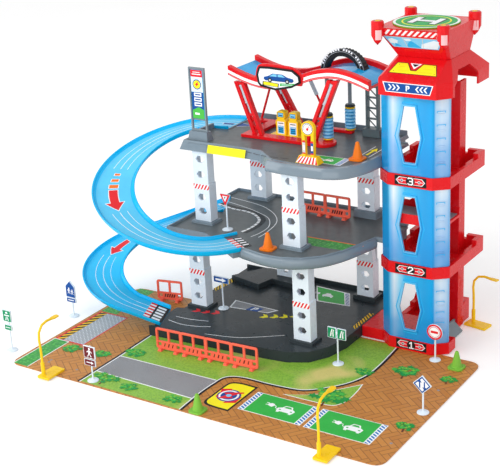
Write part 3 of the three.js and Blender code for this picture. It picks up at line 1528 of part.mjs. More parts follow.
// Places on and round the play mat, as shares of its width and depth from its front left
const onMat = ([u, v]) => [matLeft + u * matWidth, matFront + v * matDepth];
const lampPlaceShares = [[0.1245, -0.034], [0.8745, -0.055], [0.8927, 1.395]];
const conePlaceShares = [[0.543, 0.032], [0.957, 0.911]];
const signPlaceShares = {
  sign_walking: [-0.04, 0.56],
  sign_direction: [-0.045, 0.112],
  sign_post_brown: [0.243, 0.04],
  sign_stop: [0.897, 0.937],
  sign_diamond: [0.979, 0.467],
  sign_twin: [0.706, 0.7],
};
const deckConeShares = [[0.603, 0.124], [0.96, 0.292]];
const deckSignShares = { sign_yield: [0.286, 0.3], sign_arrow: [0.218, 0.326] };
const barrierPlaceShares = { front: [0.275, 0.44], back: [0.098, 0.915] };
const deckBarrierShares = [0.479, 0.79];
const lampHeadings = [90, 90, -9];
const barrierTurns = { front: 3, back: 12 };

// Outlines of the sign plates, in shares of the sign's height
const housePlateShares = [[-0.17, 0.6], [0.17, 0.6], [0.17, 0.95], [0, 1.12], [-0.17, 0.95]];
const lowPlateShares = [-0.17, 0.17, 0.45, 0.58];
const routePlateShares = [[-0.15, 0.15, 0.87, 1.22], [-0.13, 0.13, 0.62, 0.78]];
const brownPlateShares = [-0.185, 0.185, 0.66, 1];
const stopDiscShares = { post: 0.8, radius: 0.217, centre: 0.82 };
const diamondShares = [[0, 0.53], [0.242, 0.77], [0, 1.01], [-0.242, 0.77]];
const diamondPostShare = 0.76;
const twinPlateShares = [
  [-0.267, -0.017, 0.74, 1.04], [0.017, 0.267, 0.74, 1.04], [-0.167, 0.167, 0.86, 0.92],
];
const yieldShares = [[-0.17, 1.04], [0, 0.7], [0.17, 1.04]];
const yieldPostShare = 0.9;
const arrowPlateShares = [-0.25, 0.25, 0.8, 0.98];
const arrowPostShare = 0.92;

function streetFurniture() {
  const floor = -matThickness;
  lampPlaceShares.forEach((share, i) => {
    const [x, y] = onMat(share);
    lamp(`street_lamp_${i + 1}`, x, y, y > matBack ? floor : 0, lampHeadings[i]);
  });
  conePlaceShares.forEach((share, i) => cone(`traffic_cone_${i + 1}`, ...onMat(share), 0, leaf));
  const onColumns = (share) => spread([share], ...columnFrame)[0];
  const [coneTwo, coneThree] = deckConeShares;
  cone('traffic_cone_3', ...onColumns(coneTwo), roadTwo, orange);
  cone('traffic_cone_4', ...spread([coneThree], deckThreeLeft, deckThreeFront, deckThreeWidth,
    deckThreeDepth)[0], roadThree, orange);
  const tall = signHeight;
  const scaled = (shares) => shares.map(([u, v]) => [tall * u, tall * v]);
  const panel = (shares) => plate(...shares.map((share) => tall * share));
  const at = (name) => onMat(signPlaceShares[name]);
  sign('sign_walking', ...at('sign_walking'), floor, tall, [scaled(housePlateShares),
    panel(lowPlateShares)]);
  sign('sign_direction', ...at('sign_direction'), floor, tall, routePlateShares.map(panel));
  sign('sign_post_brown', ...at('sign_post_brown'), 0, tall, [panel(brownPlateShares)]);
  sign('sign_stop', ...at('sign_stop'), 0, tall * stopDiscShares.post, [
    disc(tall * stopDiscShares.radius, tall * stopDiscShares.centre)]);
  sign('sign_diamond', ...at('sign_diamond'), 0, tall * diamondPostShare, [
    scaled(diamondShares)]);
  sign('sign_twin', ...at('sign_twin'), 0, tall, twinPlateShares.map(panel));
  sign('sign_yield', ...onColumns(deckSignShares.sign_yield), roadTwo, tall * yieldPostShare, [
    scaled(yieldShares)]);
  sign('sign_arrow', ...onColumns(deckSignShares.sign_arrow), roadOne, tall * arrowPostShare, [
    panel(arrowPlateShares)]);
  barriers('barrier_row_front', 4, ...onMat(barrierPlaceShares.front), 0, barrierTurns.front);
  barriers('barrier_rear', 1, ...onMat(barrierPlaceShares.back), 0, barrierTurns.back);
  barriers('barrier_row_deck', 2, ...onColumns(deckBarrierShares), roadTwo);
}

playMat();
towerSectionOne();
towerSection('tower_section_2', collarTwoBottom, collarThreeBottom);
towerSection('tower_section_3', collarThreeBottom, capBottom);
cover('cover_1', collarHeight, collarTwoBottom);
cover('cover_2', collarTwoBottom + collarHeight, collarThreeBottom);
cover('cover_3', collarThreeBottom + collarHeight, capBottom);
roofCap();
controlRoom();
baseDeck();
deckTwo();
deckThree();
columns();
place('ramp_upper', rampSolid(upperRamp), blue);
place('ramp_lower', rampSolid(lowerRamp), blue);
liftTray();
exitFlap();
canopy();
rollers(canopyStand());
canopyBadge();
tyreArch();
trussTower();
fuelPumps();
gaugeStand();
pylon();
streetFurniture();

// Origin at the middle of the footprint, on the surface that the toy stands on
const bounds = new THREE.Box3().setFromObject(garage);
const model = new THREE.Group();
garage.position.set(
  -(bounds.min.x + bounds.max.x) / 2,
  -(bounds.min.y + bounds.max.y) / 2,
  -bounds.min.z,
);
model.add(garage);
model.updateMatrixWorld(true);

export default model;
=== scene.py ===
"""Finishes for the toy parking garage: moulded plastic, clear covers, printed sheets and small details."""

import json
import math
import random

import bmesh
import bpy
from bpy.props import FloatProperty, FloatVectorProperty, PointerProperty
from mathutils import Matrix, Vector

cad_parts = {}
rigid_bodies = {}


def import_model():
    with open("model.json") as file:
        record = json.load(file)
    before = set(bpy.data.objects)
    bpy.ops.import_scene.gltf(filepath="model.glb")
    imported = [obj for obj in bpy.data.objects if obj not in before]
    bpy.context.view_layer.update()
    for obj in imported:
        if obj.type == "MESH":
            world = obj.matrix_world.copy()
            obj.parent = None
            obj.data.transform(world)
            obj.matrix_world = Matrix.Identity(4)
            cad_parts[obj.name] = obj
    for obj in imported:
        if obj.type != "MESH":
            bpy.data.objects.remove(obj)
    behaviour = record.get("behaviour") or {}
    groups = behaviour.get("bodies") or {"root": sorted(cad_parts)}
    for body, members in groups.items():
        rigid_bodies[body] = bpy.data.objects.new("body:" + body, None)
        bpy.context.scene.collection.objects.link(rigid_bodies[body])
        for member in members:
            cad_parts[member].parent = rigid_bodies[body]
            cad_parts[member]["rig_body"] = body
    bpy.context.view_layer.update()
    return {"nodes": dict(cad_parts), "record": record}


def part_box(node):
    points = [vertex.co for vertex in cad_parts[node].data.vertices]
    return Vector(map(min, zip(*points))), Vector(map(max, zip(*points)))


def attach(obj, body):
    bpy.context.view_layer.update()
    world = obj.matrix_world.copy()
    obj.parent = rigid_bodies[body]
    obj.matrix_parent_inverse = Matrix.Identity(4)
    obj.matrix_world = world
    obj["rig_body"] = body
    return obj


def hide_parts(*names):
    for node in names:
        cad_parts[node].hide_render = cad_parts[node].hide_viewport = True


bl_info = {
    "name": "Toy Parking Garage",
    "version": (1, 0, 0),
    "blender": (4, 5, 0),
    "location": "View3D > Sidebar > Garage",
    "description": "Finishes a toy parking garage with a lift, ramps and a play mat",
    "category": "Object",
}

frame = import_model()

# Drawing frame: millimetres from the front left corner of the lift tower on the play mat
MM = 0.001
MAT_RIGHT = 108.0
MAT_BACK = 7.0
mat_low, mat_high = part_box("play_mat")

ROAD_ONE, ROAD_TWO, ROAD_THREE = 13.0, 117.0, 215.0


def at(x, y, z):
    """Point of the drawing frame in the row frame, in metres."""
    return Vector((
        mat_high.x + (x - MAT_RIGHT) * MM,
        mat_high.y + (y - MAT_BACK) * MM,
        mat_high.z + z * MM,
    ))


def drawn(point):
    """Point of the row frame in the drawing frame, in millimetres."""
    return Vector((
        (point.x - mat_high.x) / MM + MAT_RIGHT,
        (point.y - mat_high.y) / MM + MAT_BACK,
        (point.z - mat_high.z) / MM,
    ))


def drawn_box(name):
    """Lowest and highest corner of a node in the drawing frame."""
    return [drawn(corner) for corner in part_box(name)]


def shade(label, use, value):
    return FloatVectorProperty(
        name=label, description=use, default=value, size=3, min=0.0, max=1.0, subtype="COLOR_GAMMA"
    )


def size(label, use, value):
    return FloatProperty(name=label, description=use, default=value, min=0.0, unit="LENGTH")


class GarageColours(bpy.types.PropertyGroup):
    """Colours of the plastics, as they read on a screen."""

    red: shade("Red", "Lift tower, canopy and tray", (0.88, 0.08, 0.11))
    charcoal: shade("Charcoal", "Base deck and its columns' feet", (0.19, 0.22, 0.235))
    road: shade("Road", "Upper faces of the middle and top deck", (0.36, 0.39, 0.40))
    fascia: shade("Fascia", "Edges of the middle and top deck", (0.47, 0.53, 0.575))
    steel: shade("Steel grey", "Frames, spindles, flap and lift floor", (0.50, 0.55, 0.58))
    black: shade("Black", "Tyre and lift grip", (0.12, 0.13, 0.14))
    white: shade("White", "Columns, signs and badge", (0.885, 0.93, 0.97))
    blue: shade("Blue", "Ramp channels and rollers", (0.02, 0.72, 0.95))
    yellow: shade("Yellow", "Lamps, pumps and gauge stand", (0.98, 0.80, 0.12))
    orange: shade("Orange", "Traffic cones on the decks", (0.95, 0.49, 0.12))
    leaf: shade("Leaf green", "Traffic cones on the mat", (0.48, 0.72, 0.25))
    coral: shade("Coral", "Barrier panels", (1.0, 0.42, 0.33))


class GarageSizes(bpy.types.PropertyGroup):
    """Sizes of the finish."""

    edge: size("Edge radius", "Rounding of moulded edges", 0.00035)
    soft_edge: size("Soft edge radius", "Rounding of the deck edges", 0.0008)
    ink: size("Ink thickness", "Thickness of one printed layer", 0.00006)
    camera_lens: FloatProperty(
        name="Camera lens", description="Focal length of the camera in millimetres", default=88.98, min=1.0
    )


def colours():
    return bpy.context.scene.garage_colours


def sizes():
    return bpy.context.scene.garage_sizes


def linear(value):
    """Screen colour as a linear one."""
    return [c / 12.92 if c <= 0.04045 else ((c + 0.055) / 1.055) ** 2.4 for c in value]


def from_hex(code):
    return [int(code[i:i + 2], 16) / 255 for i in (1, 3, 5)]


def tone(code):
    """Linear colour of a code, with its alpha."""
    return [*linear(from_hex(code)), 1.0]


def scaled(colour, factor):
    """A colour made lighter or darker, with its alpha."""
    return [*(min(1.0, c * factor) for c in colour[:3]), 1.0]


# Material nodes
NOISE_RANGE = (0.3, 0.7)
CLEAR_SPECULAR, CLEAR_COAT, CLEAR_COAT_ROUGH = 0.25, 0.1, 0.04
PLASTIC_SPECULAR, PLASTIC_COAT_SHARE, PLASTIC_COAT_ROUGH = 0.16, 0.25, 0.12
INK_SPECULAR = 0.2
GLOSS_BELOW, GLOSS_ABOVE, INK_GLOSS_ABOVE = 0.05, 0.08, 0.1
COARSE_GRAIN, FINE_GRAIN = 0.0001, 0.00005


def node(tree, kind, *links, **values):
    """Adds a shader node; links are sockets or values for its inputs in order."""
    made = tree.nodes.new(kind)
    for key, value in values.items():
        setattr(made, key, value)
    for i, source in enumerate(links):
        feed(tree, made.inputs[i], source)
    return made


def feed(tree, target, source):
    """Links a socket to the target, or sets the target to a value."""
    if isinstance(source, bpy.types.NodeSocket):
        tree.links.new(source, target)
    else:
        target.default_value = source


def calc(tree, operation, *inputs):
    return node(tree, "ShaderNodeMath", *inputs, operation=operation).outputs[0]


def position(tree):
    return node(tree, "ShaderNodeTexCoord").outputs["Object"]


def axes(tree, vector):
    return node(tree, "ShaderNodeSeparateXYZ", vector).outputs


def noise(tree, scale, detail=2.0):
    made = node(tree, "ShaderNodeTexNoise")
    tree.links.new(position(tree), made.inputs["Vector"])
    made.inputs["Scale"].default_value = scale
    made.inputs["Detail"].default_value = detail
    return made.outputs["Fac"]


def mapped(tree, value, low, high, to_low, to_high):
    return node(tree, "ShaderNodeMapRange", value, low, high, to_low, to_high).outputs[0]


def drift(tree, scale, low, high, detail=2.0):
    """Noise stretched between two values."""
    return mapped(tree, noise(tree, scale, detail), *NOISE_RANGE, low, high)


def mixed(tree, share, first, second):
    """Mixes two colours; each may be a socket or a list of four numbers."""
    made = node(tree, "ShaderNodeMix", data_type="RGBA")
    for index, source in ((0, share), (6, first), (7, second)):
        feed(tree, made.inputs[index], source)
    return made.outputs[2]


def new_material(name):
    material = bpy.data.materials.new(name)
    material.use_nodes = True
    tree = material.node_tree
    return material, tree, tree.nodes["Principled BSDF"]


def surface(tree, shader, colour, rough, specular=None, coat=None, coat_rough=None, alpha=None):
    """Feeds the shader's inputs; each may be a socket or a number."""
    for key, source in (("Base Color", colour), ("Roughness", rough), ("Specular IOR Level", specular),
                        ("Coat Weight", coat), ("Coat Roughness", coat_rough), ("Alpha", alpha)):
        if source is not None:
            feed(tree, shader.inputs[key], source)


def bumped(tree, shader, height, strength, distance):
    bump = node(tree, "ShaderNodeBump")
    bump.inputs["Strength"].default_value = strength
    bump.inputs["Distance"].default_value = distance
    tree.links.new(height, bump.inputs["Height"])
    tree.links.new(bump.outputs["Normal"], shader.inputs["Normal"])


def plastic(name, colour, gloss=0.3, spread=0.06, grain=1400.0, coat=0.15):
    """Injection-moulded plastic: slow colour drift, fine moulding grain and uneven gloss."""
    material, tree, shader = new_material(name)
    base = linear(colour)
    tint = mixed(tree, drift(tree, 14.0, 0.0, 1.0, 3.0), scaled(base, 1 - spread), scaled(base, 1 + spread))
    rough = drift(tree, 120.0, gloss - GLOSS_BELOW, gloss + GLOSS_ABOVE, 4.0)
    surface(tree, shader, tint, rough, PLASTIC_SPECULAR, coat * PLASTIC_COAT_SHARE, PLASTIC_COAT_ROUGH)
    bumped(tree, shader, noise(tree, grain), 0.12, COARSE_GRAIN)
    return material


def clear_plastic(name, code, alpha, alpha_spread=0.04):
    """Tinted clear plastic, a little deeper where the sheet is uneven."""
    material, tree, shader = new_material(name)
    base = tone(code)
    tint = mixed(tree, drift(tree, 22.0, 0.0, 1.0, 3.0), scaled(base, 0.9), scaled(base, 1.15))
    depth = drift(tree, 30.0, alpha - alpha_spread, alpha + alpha_spread)
    surface(tree, shader, tint, drift(tree, 160.0, 0.05, 0.12, 3.0),
            CLEAR_SPECULAR, CLEAR_COAT, CLEAR_COAT_ROUGH, depth)
    return material


# Blues across a cover from its left bevel to its right one: the cover's own blue, with a painted highlight
# band on the front panel (0.19 to 0.33) and a pale painted highlight on the right bevel (0.84 to 0.96).
COVER_BLUES_AND_HIGHLIGHTS = [
    (0.0, "#06A6E4"), (0.15, "#06A6E6"), (0.19, "#5CC6F2"), (0.26, "#F2FAFE"), (0.33, "#A8E0F8"),
    (0.42, "#3DBDF2"), (0.56, "#2DB2EE"), (0.70, "#2BA4E4"), (0.79, "#18A8EA"), (0.805, "#06A6E6"),
    (0.825, "#06A6E6"), (0.84, "#B9DDF3"), (0.90, "#E3F1FA"), (0.96, "#CFE5F5"), (1.0, "#0AA2E2"),
]
TONES_LEFT, TONES_RIGHT = -15, 67
COVER_DEEP = "#1296E2"
COVER_THIN, COVER_THICK, THICK_SHARE = 0.80, 0.93, 0.4


def cover_plastic(name, low, high):
    """Clear blue cover: across its folds its blue carries a painted highlight band and a pale painted
    highlight on its right bevel, and it grows darker towards its foot.
    """
    material, tree, shader = new_material(name)
    apart = axes(tree, position(tree))
    across = mapped(tree, apart[0], at(TONES_LEFT, 0, 0).x, at(TONES_RIGHT, 0, 0).x, 0.0, 1.0)
    # Colour ramp across the cover, its painted highlights included.
    ramp = node(tree, "ShaderNodeValToRGB", across)
    tones = ramp.color_ramp
    while len(tones.elements) < len(COVER_BLUES_AND_HIGHLIGHTS):
        tones.elements.new(0.5)
    for element, (share, _) in zip(tones.elements, COVER_BLUES_AND_HIGHLIGHTS):
        element.position = share
    for element, (_, code) in zip(tones.elements, COVER_BLUES_AND_HIGHLIGHTS):
        element.color = tone(code)
    foot, head = at(0, 0, low).z, at(0, 0, high).z
    rise = mapped(tree, apart[2], foot, head, 0.85, 0.05)
    cloud = drift(tree, 26.0, -0.15, 0.15)
    deepened = node(tree, "ShaderNodeMath", calc(tree, "ADD", rise, cloud), 0.0, operation="MAXIMUM")
    deepened.use_clamp = True
    tint = mixed(tree, deepened.outputs[0], ramp.outputs["Color"], tone(COVER_DEEP))
    thick = mapped(tree, apart[2], foot, foot + (head - foot) * THICK_SHARE, COVER_THIN, COVER_THICK)
    surface(tree, shader, tint, drift(tree, 160.0, 0.08, 0.16, 3.0),
            CLEAR_SPECULAR, CLEAR_COAT, CLEAR_COAT_ROUGH, thick)
    return material


def printed(name, code, fleck, gloss=0.42, spread=0.05):
    """Ink on a paper label: faint mottling, flecks where the print has them, fibre grain."""
    material, tree, shader = new_material(name)
    base = tone(code)
    tint = mixed(tree, drift(tree, 45.0, 0.0, 1.0, 3.0), scaled(base, 1 - spread), scaled(base, 1 + spread))
    if fleck:
        dots = mapped(tree, noise(tree, 900.0, 3.0), 0.52, 0.62, 0.0, fleck)
        tint = mixed(tree, dots, tint, scaled(base, 1.7))
    rough = drift(tree, 300.0, gloss - GLOSS_BELOW, gloss + INK_GLOSS_ABOVE, 3.0)
    surface(tree, shader, tint, rough, INK_SPECULAR)
    bumped(tree, shader, noise(tree, 2600.0), 0.08, FINE_GRAIN)
    return material


def grass(name):
    """Printed lawn: fresh green with sandy patches and dark and light blades."""
    material, tree, shader = new_material(name)
    green, deep, sand = tone("#8FBF3F"), tone("#6FA234"), tone("#DCCB7C")
    patches = mapped(tree, noise(tree, 13.0), 0.56, 0.70, 0.0, 1.0)
    blades = mapped(tree, noise(tree, 520.0, 4.0), 0.45, 0.62, 0.0, 0.75)
    tint = mixed(tree, calc(tree, "MULTIPLY", patches, 0.9), mixed(tree, blades, green, deep), sand)
    specks = mapped(tree, noise(tree, 1100.0, 3.0), 0.60, 0.66, 0.0, 0.35)
    surface(tree, shader, mixed(tree, specks, tint, scaled(deep, 0.6)), drift(tree, 300.0, 0.45, 0.6))
    bumped(tree, shader, noise(tree, 1800.0), 0.1, FINE_GRAIN)
    return material


def tiles(tree, pitch, turn):
    """Square tiles turned by some degrees: column, row and the place in the tile."""
    laid = node(tree, "ShaderNodeMapping", position(tree))
    laid.inputs["Rotation"].default_value = (0.0, 0.0, math.radians(turn))
    laid.inputs["Scale"].default_value = (1 / pitch, 1 / pitch, 1 / pitch)
    x, y, _ = axes(tree, laid.outputs[0])
    column, row = calc(tree, "FLOOR", x), calc(tree, "FLOOR", y)
    return column, row, calc(tree, "SUBTRACT", x, column), calc(tree, "SUBTRACT", y, row)


def chosen(tree, switch, other, first, second):
    """The first value where the switch is 1, and the second where its opposite is 1."""
    return calc(tree, "ADD", calc(tree, "MULTIPLY", switch, first), calc(tree, "MULTIPLY", other, second))


PAVING_BLOCK, PAVING_LONG, PAVING_TURN = 0.0067, 3.0, 38.0


def paving(name):
    """Printed herringbone paving of brown blocks, three wide to one, laid at a slant."""
    material, tree, shader = new_material(name)
    column, row, fx, fy = tiles(tree, PAVING_BLOCK, PAVING_TURN)
    long = PAVING_LONG
    step = calc(tree, "FLOORED_MODULO", calc(tree, "SUBTRACT", column, row), long * 2)
    lying = calc(tree, "LESS_THAN", step, long - 0.5)
    stood = calc(tree, "SUBTRACT", 1.0, lying)
    rest = calc(tree, "SUBTRACT", long * 2 - 1, step)
    along = chosen(tree, lying, stood, calc(tree, "ADD", step, fx), calc(tree, "ADD", rest, fy))
    across = chosen(tree, lying, stood, fy, fx)
    ends = calc(tree, "MINIMUM", along, calc(tree, "SUBTRACT", long, along))
    sides = calc(tree, "MINIMUM", across, calc(tree, "SUBTRACT", 1.0, across))
    joint = mapped(tree, calc(tree, "MINIMUM", ends, sides), 0.03, 0.09, 1.0, 0.0)
    first = calc(tree, "SUBTRACT", column, calc(tree, "MULTIPLY", lying, step))
    second = calc(tree, "SUBTRACT", row, calc(tree, "MULTIPLY", stood, rest))
    block = node(tree, "ShaderNodeCombineXYZ", first, second).outputs[0]
    dice = node(tree, "ShaderNodeTexWhiteNoise", block).outputs["Value"]
    light, dark, line = tone("#CB8A3E"), tone("#BB7A33"), tone("#8E5A27")
    tint = mixed(tree, drift(tree, 260.0, 0.0, 0.35, 4.0), mixed(tree, dice, light, dark), dark)
    surface(tree, shader, mixed(tree, joint, tint, line), drift(tree, 300.0, 0.42, 0.58))
    bumped(tree, shader, noise(tree, 1800.0), 0.1, FINE_GRAIN)
    return material


PLATE_PITCH, PLATE_TURN = 0.0042, 45.0


def chequer_plate(name):
    """Printed steel plate with raised lozenges in two directions."""
    material, tree, shader = new_material(name)
    column, row, x, y = tiles(tree, PLATE_PITCH, PLATE_TURN)
    fx, fy = calc(tree, "SUBTRACT", x, 0.5), calc(tree, "SUBTRACT", y, 0.5)
    odd = calc(tree, "FLOORED_MODULO", calc(tree, "ADD", column, row), 2.0)
    even = calc(tree, "SUBTRACT", 1.0, odd)
    u, v = chosen(tree, odd, even, fx, fy), chosen(tree, odd, even, fy, fx)
    narrow = calc(tree, "MULTIPLY", calc(tree, "MULTIPLY", v, v), 9.0)
    lozenge = mapped(tree, calc(tree, "ADD", calc(tree, "MULTIPLY", u, u), narrow), 0.10, 0.16, 1.0, 0.0)
    plain, bright = tone("#9DA1A6"), tone("#DDE1E5")
    tint = mixed(tree, drift(tree, 30.0, 0.0, 1.0), plain, scaled(plain, 1.25))
    surface(tree, shader, mixed(tree, lozenge, tint, bright), drift(tree, 300.0, 0.35, 0.5))
    bumped(tree, shader, lozenge, 0.2, COARSE_GRAIN)
    return material


def hedge(name):
    """Printed hedge: clumps of dark and bright leaves."""
    material, tree, shader = new_material(name)
    leaves = node(tree, "ShaderNodeTexVoronoi", position(tree))
    leaves.inputs["Scale"].default_value = 300.0
    tones = mapped(tree, leaves.outputs["Distance"], 0.05, 0.55, 0.0, 1.0)
    tint = mixed(tree, tones, tone("#62CE52"), tone("#2A963C"))
    surface(tree, shader, tint, drift(tree, 300.0, 0.4, 0.6))
    bumped(tree, shader, leaves.outputs["Distance"], 0.15, 0.00008)
    return material


ROLLER_LOW, ROLLER_HIGH = 219.4, 246.4
ROLLER_RING = 1.8
ROLLER_PUFFS = 6
ROLLER_PUFFS_LOW = ROLLER_LOW + ROLLER_RING
ROLLER_PUFF = (ROLLER_HIGH - ROLLER_LOW - ROLLER_RING * 2) / ROLLER_PUFFS


def fleece_with_painted_light(name):
    """Roller fleece: painted highlights on the crests of its puffs and painted shade in the valleys between
    them, with fine strands.
    """
    material, tree, shader = new_material(name)
    base = tone("#1CA2E8")
    height = axes(tree, position(tree))[2]
    rings = calc(tree, "MULTIPLY", calc(tree, "SUBTRACT", height, at(0, 0, ROLLER_PUFFS_LOW).z),
                 math.tau / (ROLLER_PUFF * MM))
    # Painted light of the puffs: 1 on each crest, which gets a pale painted highlight, and 0 in the valleys,
    # which are painted in shade.
    painted_puff_light = mapped(tree, calc(tree, "COSINE", rings), -0.9, 0.9, 1.0, 0.0)
    strands = drift(tree, 700.0, 0.0, 0.5, 4.0)
    # The darkened blue in the valleys is painted shade, and the pale blue on the crests is a painted
    # highlight.
    tint = mixed(tree, painted_puff_light, scaled(base, 0.7), tone("#9ADDFB"))
    lined = mixed(tree, strands, tint, scaled(base, 1.25))
    surface(tree, shader, lined, drift(tree, 200.0, 0.25, 0.4), coat=0.3)
    bumped(tree, shader, noise(tree, 1500.0, 3.0), 0.25, 0.0002)
    return material


# Finishes by name: a print takes the ink's name without its first part
INKS = {
    "white": "#F6F8FA", "black": "#17181A", "red": "#E3252E", "rose": "#F3A6A8", "yellow": "#FCEE21",
    "gold": "#F7C51E", "green": "#37B34A", "deep_green": "#128C5E", "blue": "#0B4C98", "sky": "#7CCBF2",
    "cyan": "#23AEE9", "road": "#8C8D90", "slate": "#2B3134", "silver": "#C9CED3", "brown": "#6B1B22",
    "orange": "#F5782A", "leaf": "#1F9443", "leaf_light": "#4DB848", "bark": "#6B3F26", "lime": "#8CC63F",
    # The slot ink is a dark coral, painted as the shade inside the barriers' slots.
    "ramp": "#5CC9F4", "ramp_low": "#34C0F2", "ice": "#DDF0FA", "green_pad": "#12A650", "slot": "#5A1C1E",
    "stripe": "#2F7AC2",
}
ROAD_FLECK = 0.5
PLASTICS = {
    "red_plastic": ("red", 0.24, {"coat": 0.3}),
    "dark_grey_plastic": ("charcoal", 0.30, {"coat": 0.2}),
    "mid_grey_plastic": ("fascia", 0.26, {"coat": 0.3}),
    "road_plastic": ("road", 0.34, {"grain": 900.0}),
    "light_grey_plastic": ("steel", 0.3, {}),
    "black_plastic": ("black", 0.5, {"coat": 0.0}),
    "white_plastic": ("white", 0.25, {"spread": 0.02, "coat": 0.3}),
    "blue_plastic": ("blue", 0.2, {"coat": 0.4}),
    "ramp_plastic": ("blue", 0.16, {"spread": 0.04, "coat": 0.5}),
    "silver_plastic": ("#C3CFD8", 0.16, {"spread": 0.03, "coat": 0.6}),
    "rim_plastic": ("fascia", 0.2, {"coat": 2.4}),
    "truss_grey": ("#5D6C71", 0.3, {"coat": 0.2}),
    "pale_lens": ("#F4BFC0", 0.2, {"spread": 0.04, "coat": 0.5}),
    "yellow_plastic": ("yellow", 0.26, {"coat": 0.3}),
    "orange_plastic": ("orange", 0.4, {}),
    "leaf_plastic": ("leaf", 0.4, {}),
    "green_print": ("leaf", 0.4, {}),
    "coral_plastic": ("coral", 0.34, {}),
}
SPECIAL = {
    "sheet_plastic": (clear_plastic, "#0BA8EA", 0.94), "fleece": (fleece_with_painted_light,), "grass": (grass,),
    "paving": (paving,), "chequer_plate": (chequer_plate,), "hedge": (hedge,),
    "cover_one": (cover_plastic, 13, 90), "cover_two": (cover_plastic, 103, 190),
    "cover_three": (cover_plastic, 203, 289),
}

_finishes = {}


def finish(name):
    """The finish of that name, made at its first use."""
    if name not in _finishes:
        if name in PLASTICS:
            tint, gloss, others = PLASTICS[name]
            colour = from_hex(tint) if tint.startswith("#") else getattr(colours(), tint)
            _finishes[name] = plastic(name, colour, gloss, **others)
        elif name in SPECIAL:
            build, *values = SPECIAL[name]
            _finishes[name] = build(name, *values)
        else:
            ink = name.removeprefix("ink_")
            _finishes[name] = printed(name, INKS[ink], ROAD_FLECK if ink == "road" else 0.0)
    return _finishes[name]


# Meshes
SMOOTH_ANGLE, BEVEL_ANGLE, FLAT_ANGLE = 40.0, 32.0, 0.6
BEVEL_SEGMENTS = 2
NORMAL_WEIGHT = 100
MERGE_DISTANCE = 0.000002
MOST_SIDES = 4


def finished(name, bm, finishes, bevel=0.0, body="garage", smooth=True, copied=False):
    """Puts a mesh into the scene as one piece of the object."""
    if not copied:
        bmesh.ops.recalc_face_normals(bm, faces=bm.faces)
    mesh = bpy.data.meshes.new(name)
    bm.to_mesh(mesh)
    bm.free()
    for attribute in ("custom_normal", "sharp_face", "sharp_edge"):
        if attribute in mesh.attributes:
            mesh.attributes.remove(mesh.attributes[attribute])
    for each in finishes:
        mesh.materials.append(finish(each))
    for face in mesh.polygons:
        face.use_smooth = smooth
    made = bpy.data.objects.new(name, mesh)
    bpy.context.scene.collection.objects.link(made)
    if smooth:
        mesh.set_sharp_from_angle(angle=math.radians(SMOOTH_ANGLE))
    if bevel:
        edges = made.modifiers.new("edges", "BEVEL")
        edges.width = bevel
        edges.segments = BEVEL_SEGMENTS
        edges.limit_method = "ANGLE"
        edges.angle_limit = math.radians(BEVEL_ANGLE)
        edges.use_clamp_overlap = False
        if "sharp_edge" in mesh.attributes:
            mesh.attributes.remove(mesh.attributes["sharp_edge"])
        flats = made.modifiers.new("flats", "WEIGHTED_NORMAL")
        flats.weight = NORMAL_WEIGHT
    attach(made, body)
    return made


def slot_of(name):
    """Material slot that the record gives the node."""
    return next(part["material_slot"] for part in frame["record"]["subparts"] if part["node"] == name)


def body_of(name):
    return frame["nodes"][name]["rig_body"]


def copy_of(name, before=None):
    """The CAD node's mesh with its loose triangles merged and its flat faces joined."""
    bm = bmesh.new()
    bm.from_mesh(frame["nodes"][name].data)
    bmesh.ops.remove_doubles(bm, verts=bm.verts, dist=MERGE_DISTANCE)
    bmesh.ops.dissolve_limit(bm, angle_limit=math.radians(FLAT_ANGLE), use_dissolve_boundaries=False,
                             verts=bm.verts, edges=bm.edges, delimit={"NORMAL"})
    if before:
        before(bm)
    many_sided = [face for face in bm.faces if len(face.verts) > MOST_SIDES]
    bmesh.ops.triangulate(bm, faces=many_sided, quad_method="BEAUTY", ngon_method="BEAUTY")
    return bm


FLAT_UP = 0.9
TOP_REACH = 0.0004


def moulded(name, finish_name=None, bevel=None, top=None, top_finish=None, accents=(), before=None):
    """Round-edged copy of a CAD node; faces at the height top, or of an accent, take another finish."""
    bm = copy_of(name, before)
    finishes = [finish_name or slot_of(name)]
    if top is not None:
        finishes.append(top_finish)
        level = at(0, 0, top).z
        for face in bm.faces:
            flat = face.normal.z > FLAT_UP and abs(face.calc_center_median().z - level) < TOP_REACH
            face.material_index = 1 if flat else 0
    for accent, low, high in accents:
        finishes.append(accent)
        for face in bm.faces:
            if low < drawn(face.calc_center_median()).z < high:
                face.material_index = len(finishes) - 1
    made = finished(name + "_moulded", bm, finishes,
                    sizes().edge if bevel is None else bevel, body_of(name), copied=True)
    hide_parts(name)


def verts_of(grown):
    return [g for g in grown if isinstance(g, bmesh.types.BMVert)]


def faces_of(grown):
    return [g for g in grown if isinstance(g, bmesh.types.BMFace)]


def raised(bm, corners, rise, index):
    """Closed slab over a ring of corners; returns its two wide faces."""
    face = bm.faces.new([bm.verts.new(corner) for corner in corners])
    face.material_index = index
    grown = bmesh.ops.extrude_face_region(bm, geom=[face])["geom"]
    bmesh.ops.translate(bm, vec=rise, verts=verts_of(grown))
    return [face] + faces_of(grown)


class Plane:
    """Flat place for a print: an origin and two directions, in millimetres of the drawing."""

    def __init__(self, origin, right, up):
        self.origin, self.right, self.up = Vector(origin), Vector(right).normalized(), Vector(up).normalized()
        self.out = self.right.cross(self.up)

    def point(self, u, v, height=0.0):
        return at(*(self.origin + self.right * u + self.up * v + self.out * height))


def ground(z):
    return Plane((0, 0, z), (1, 0, 0), (0, 1, 0))


def wall_at(y, x=0.0):
    return Plane((x, y, 0), (1, 0, 0), (0, 0, 1))


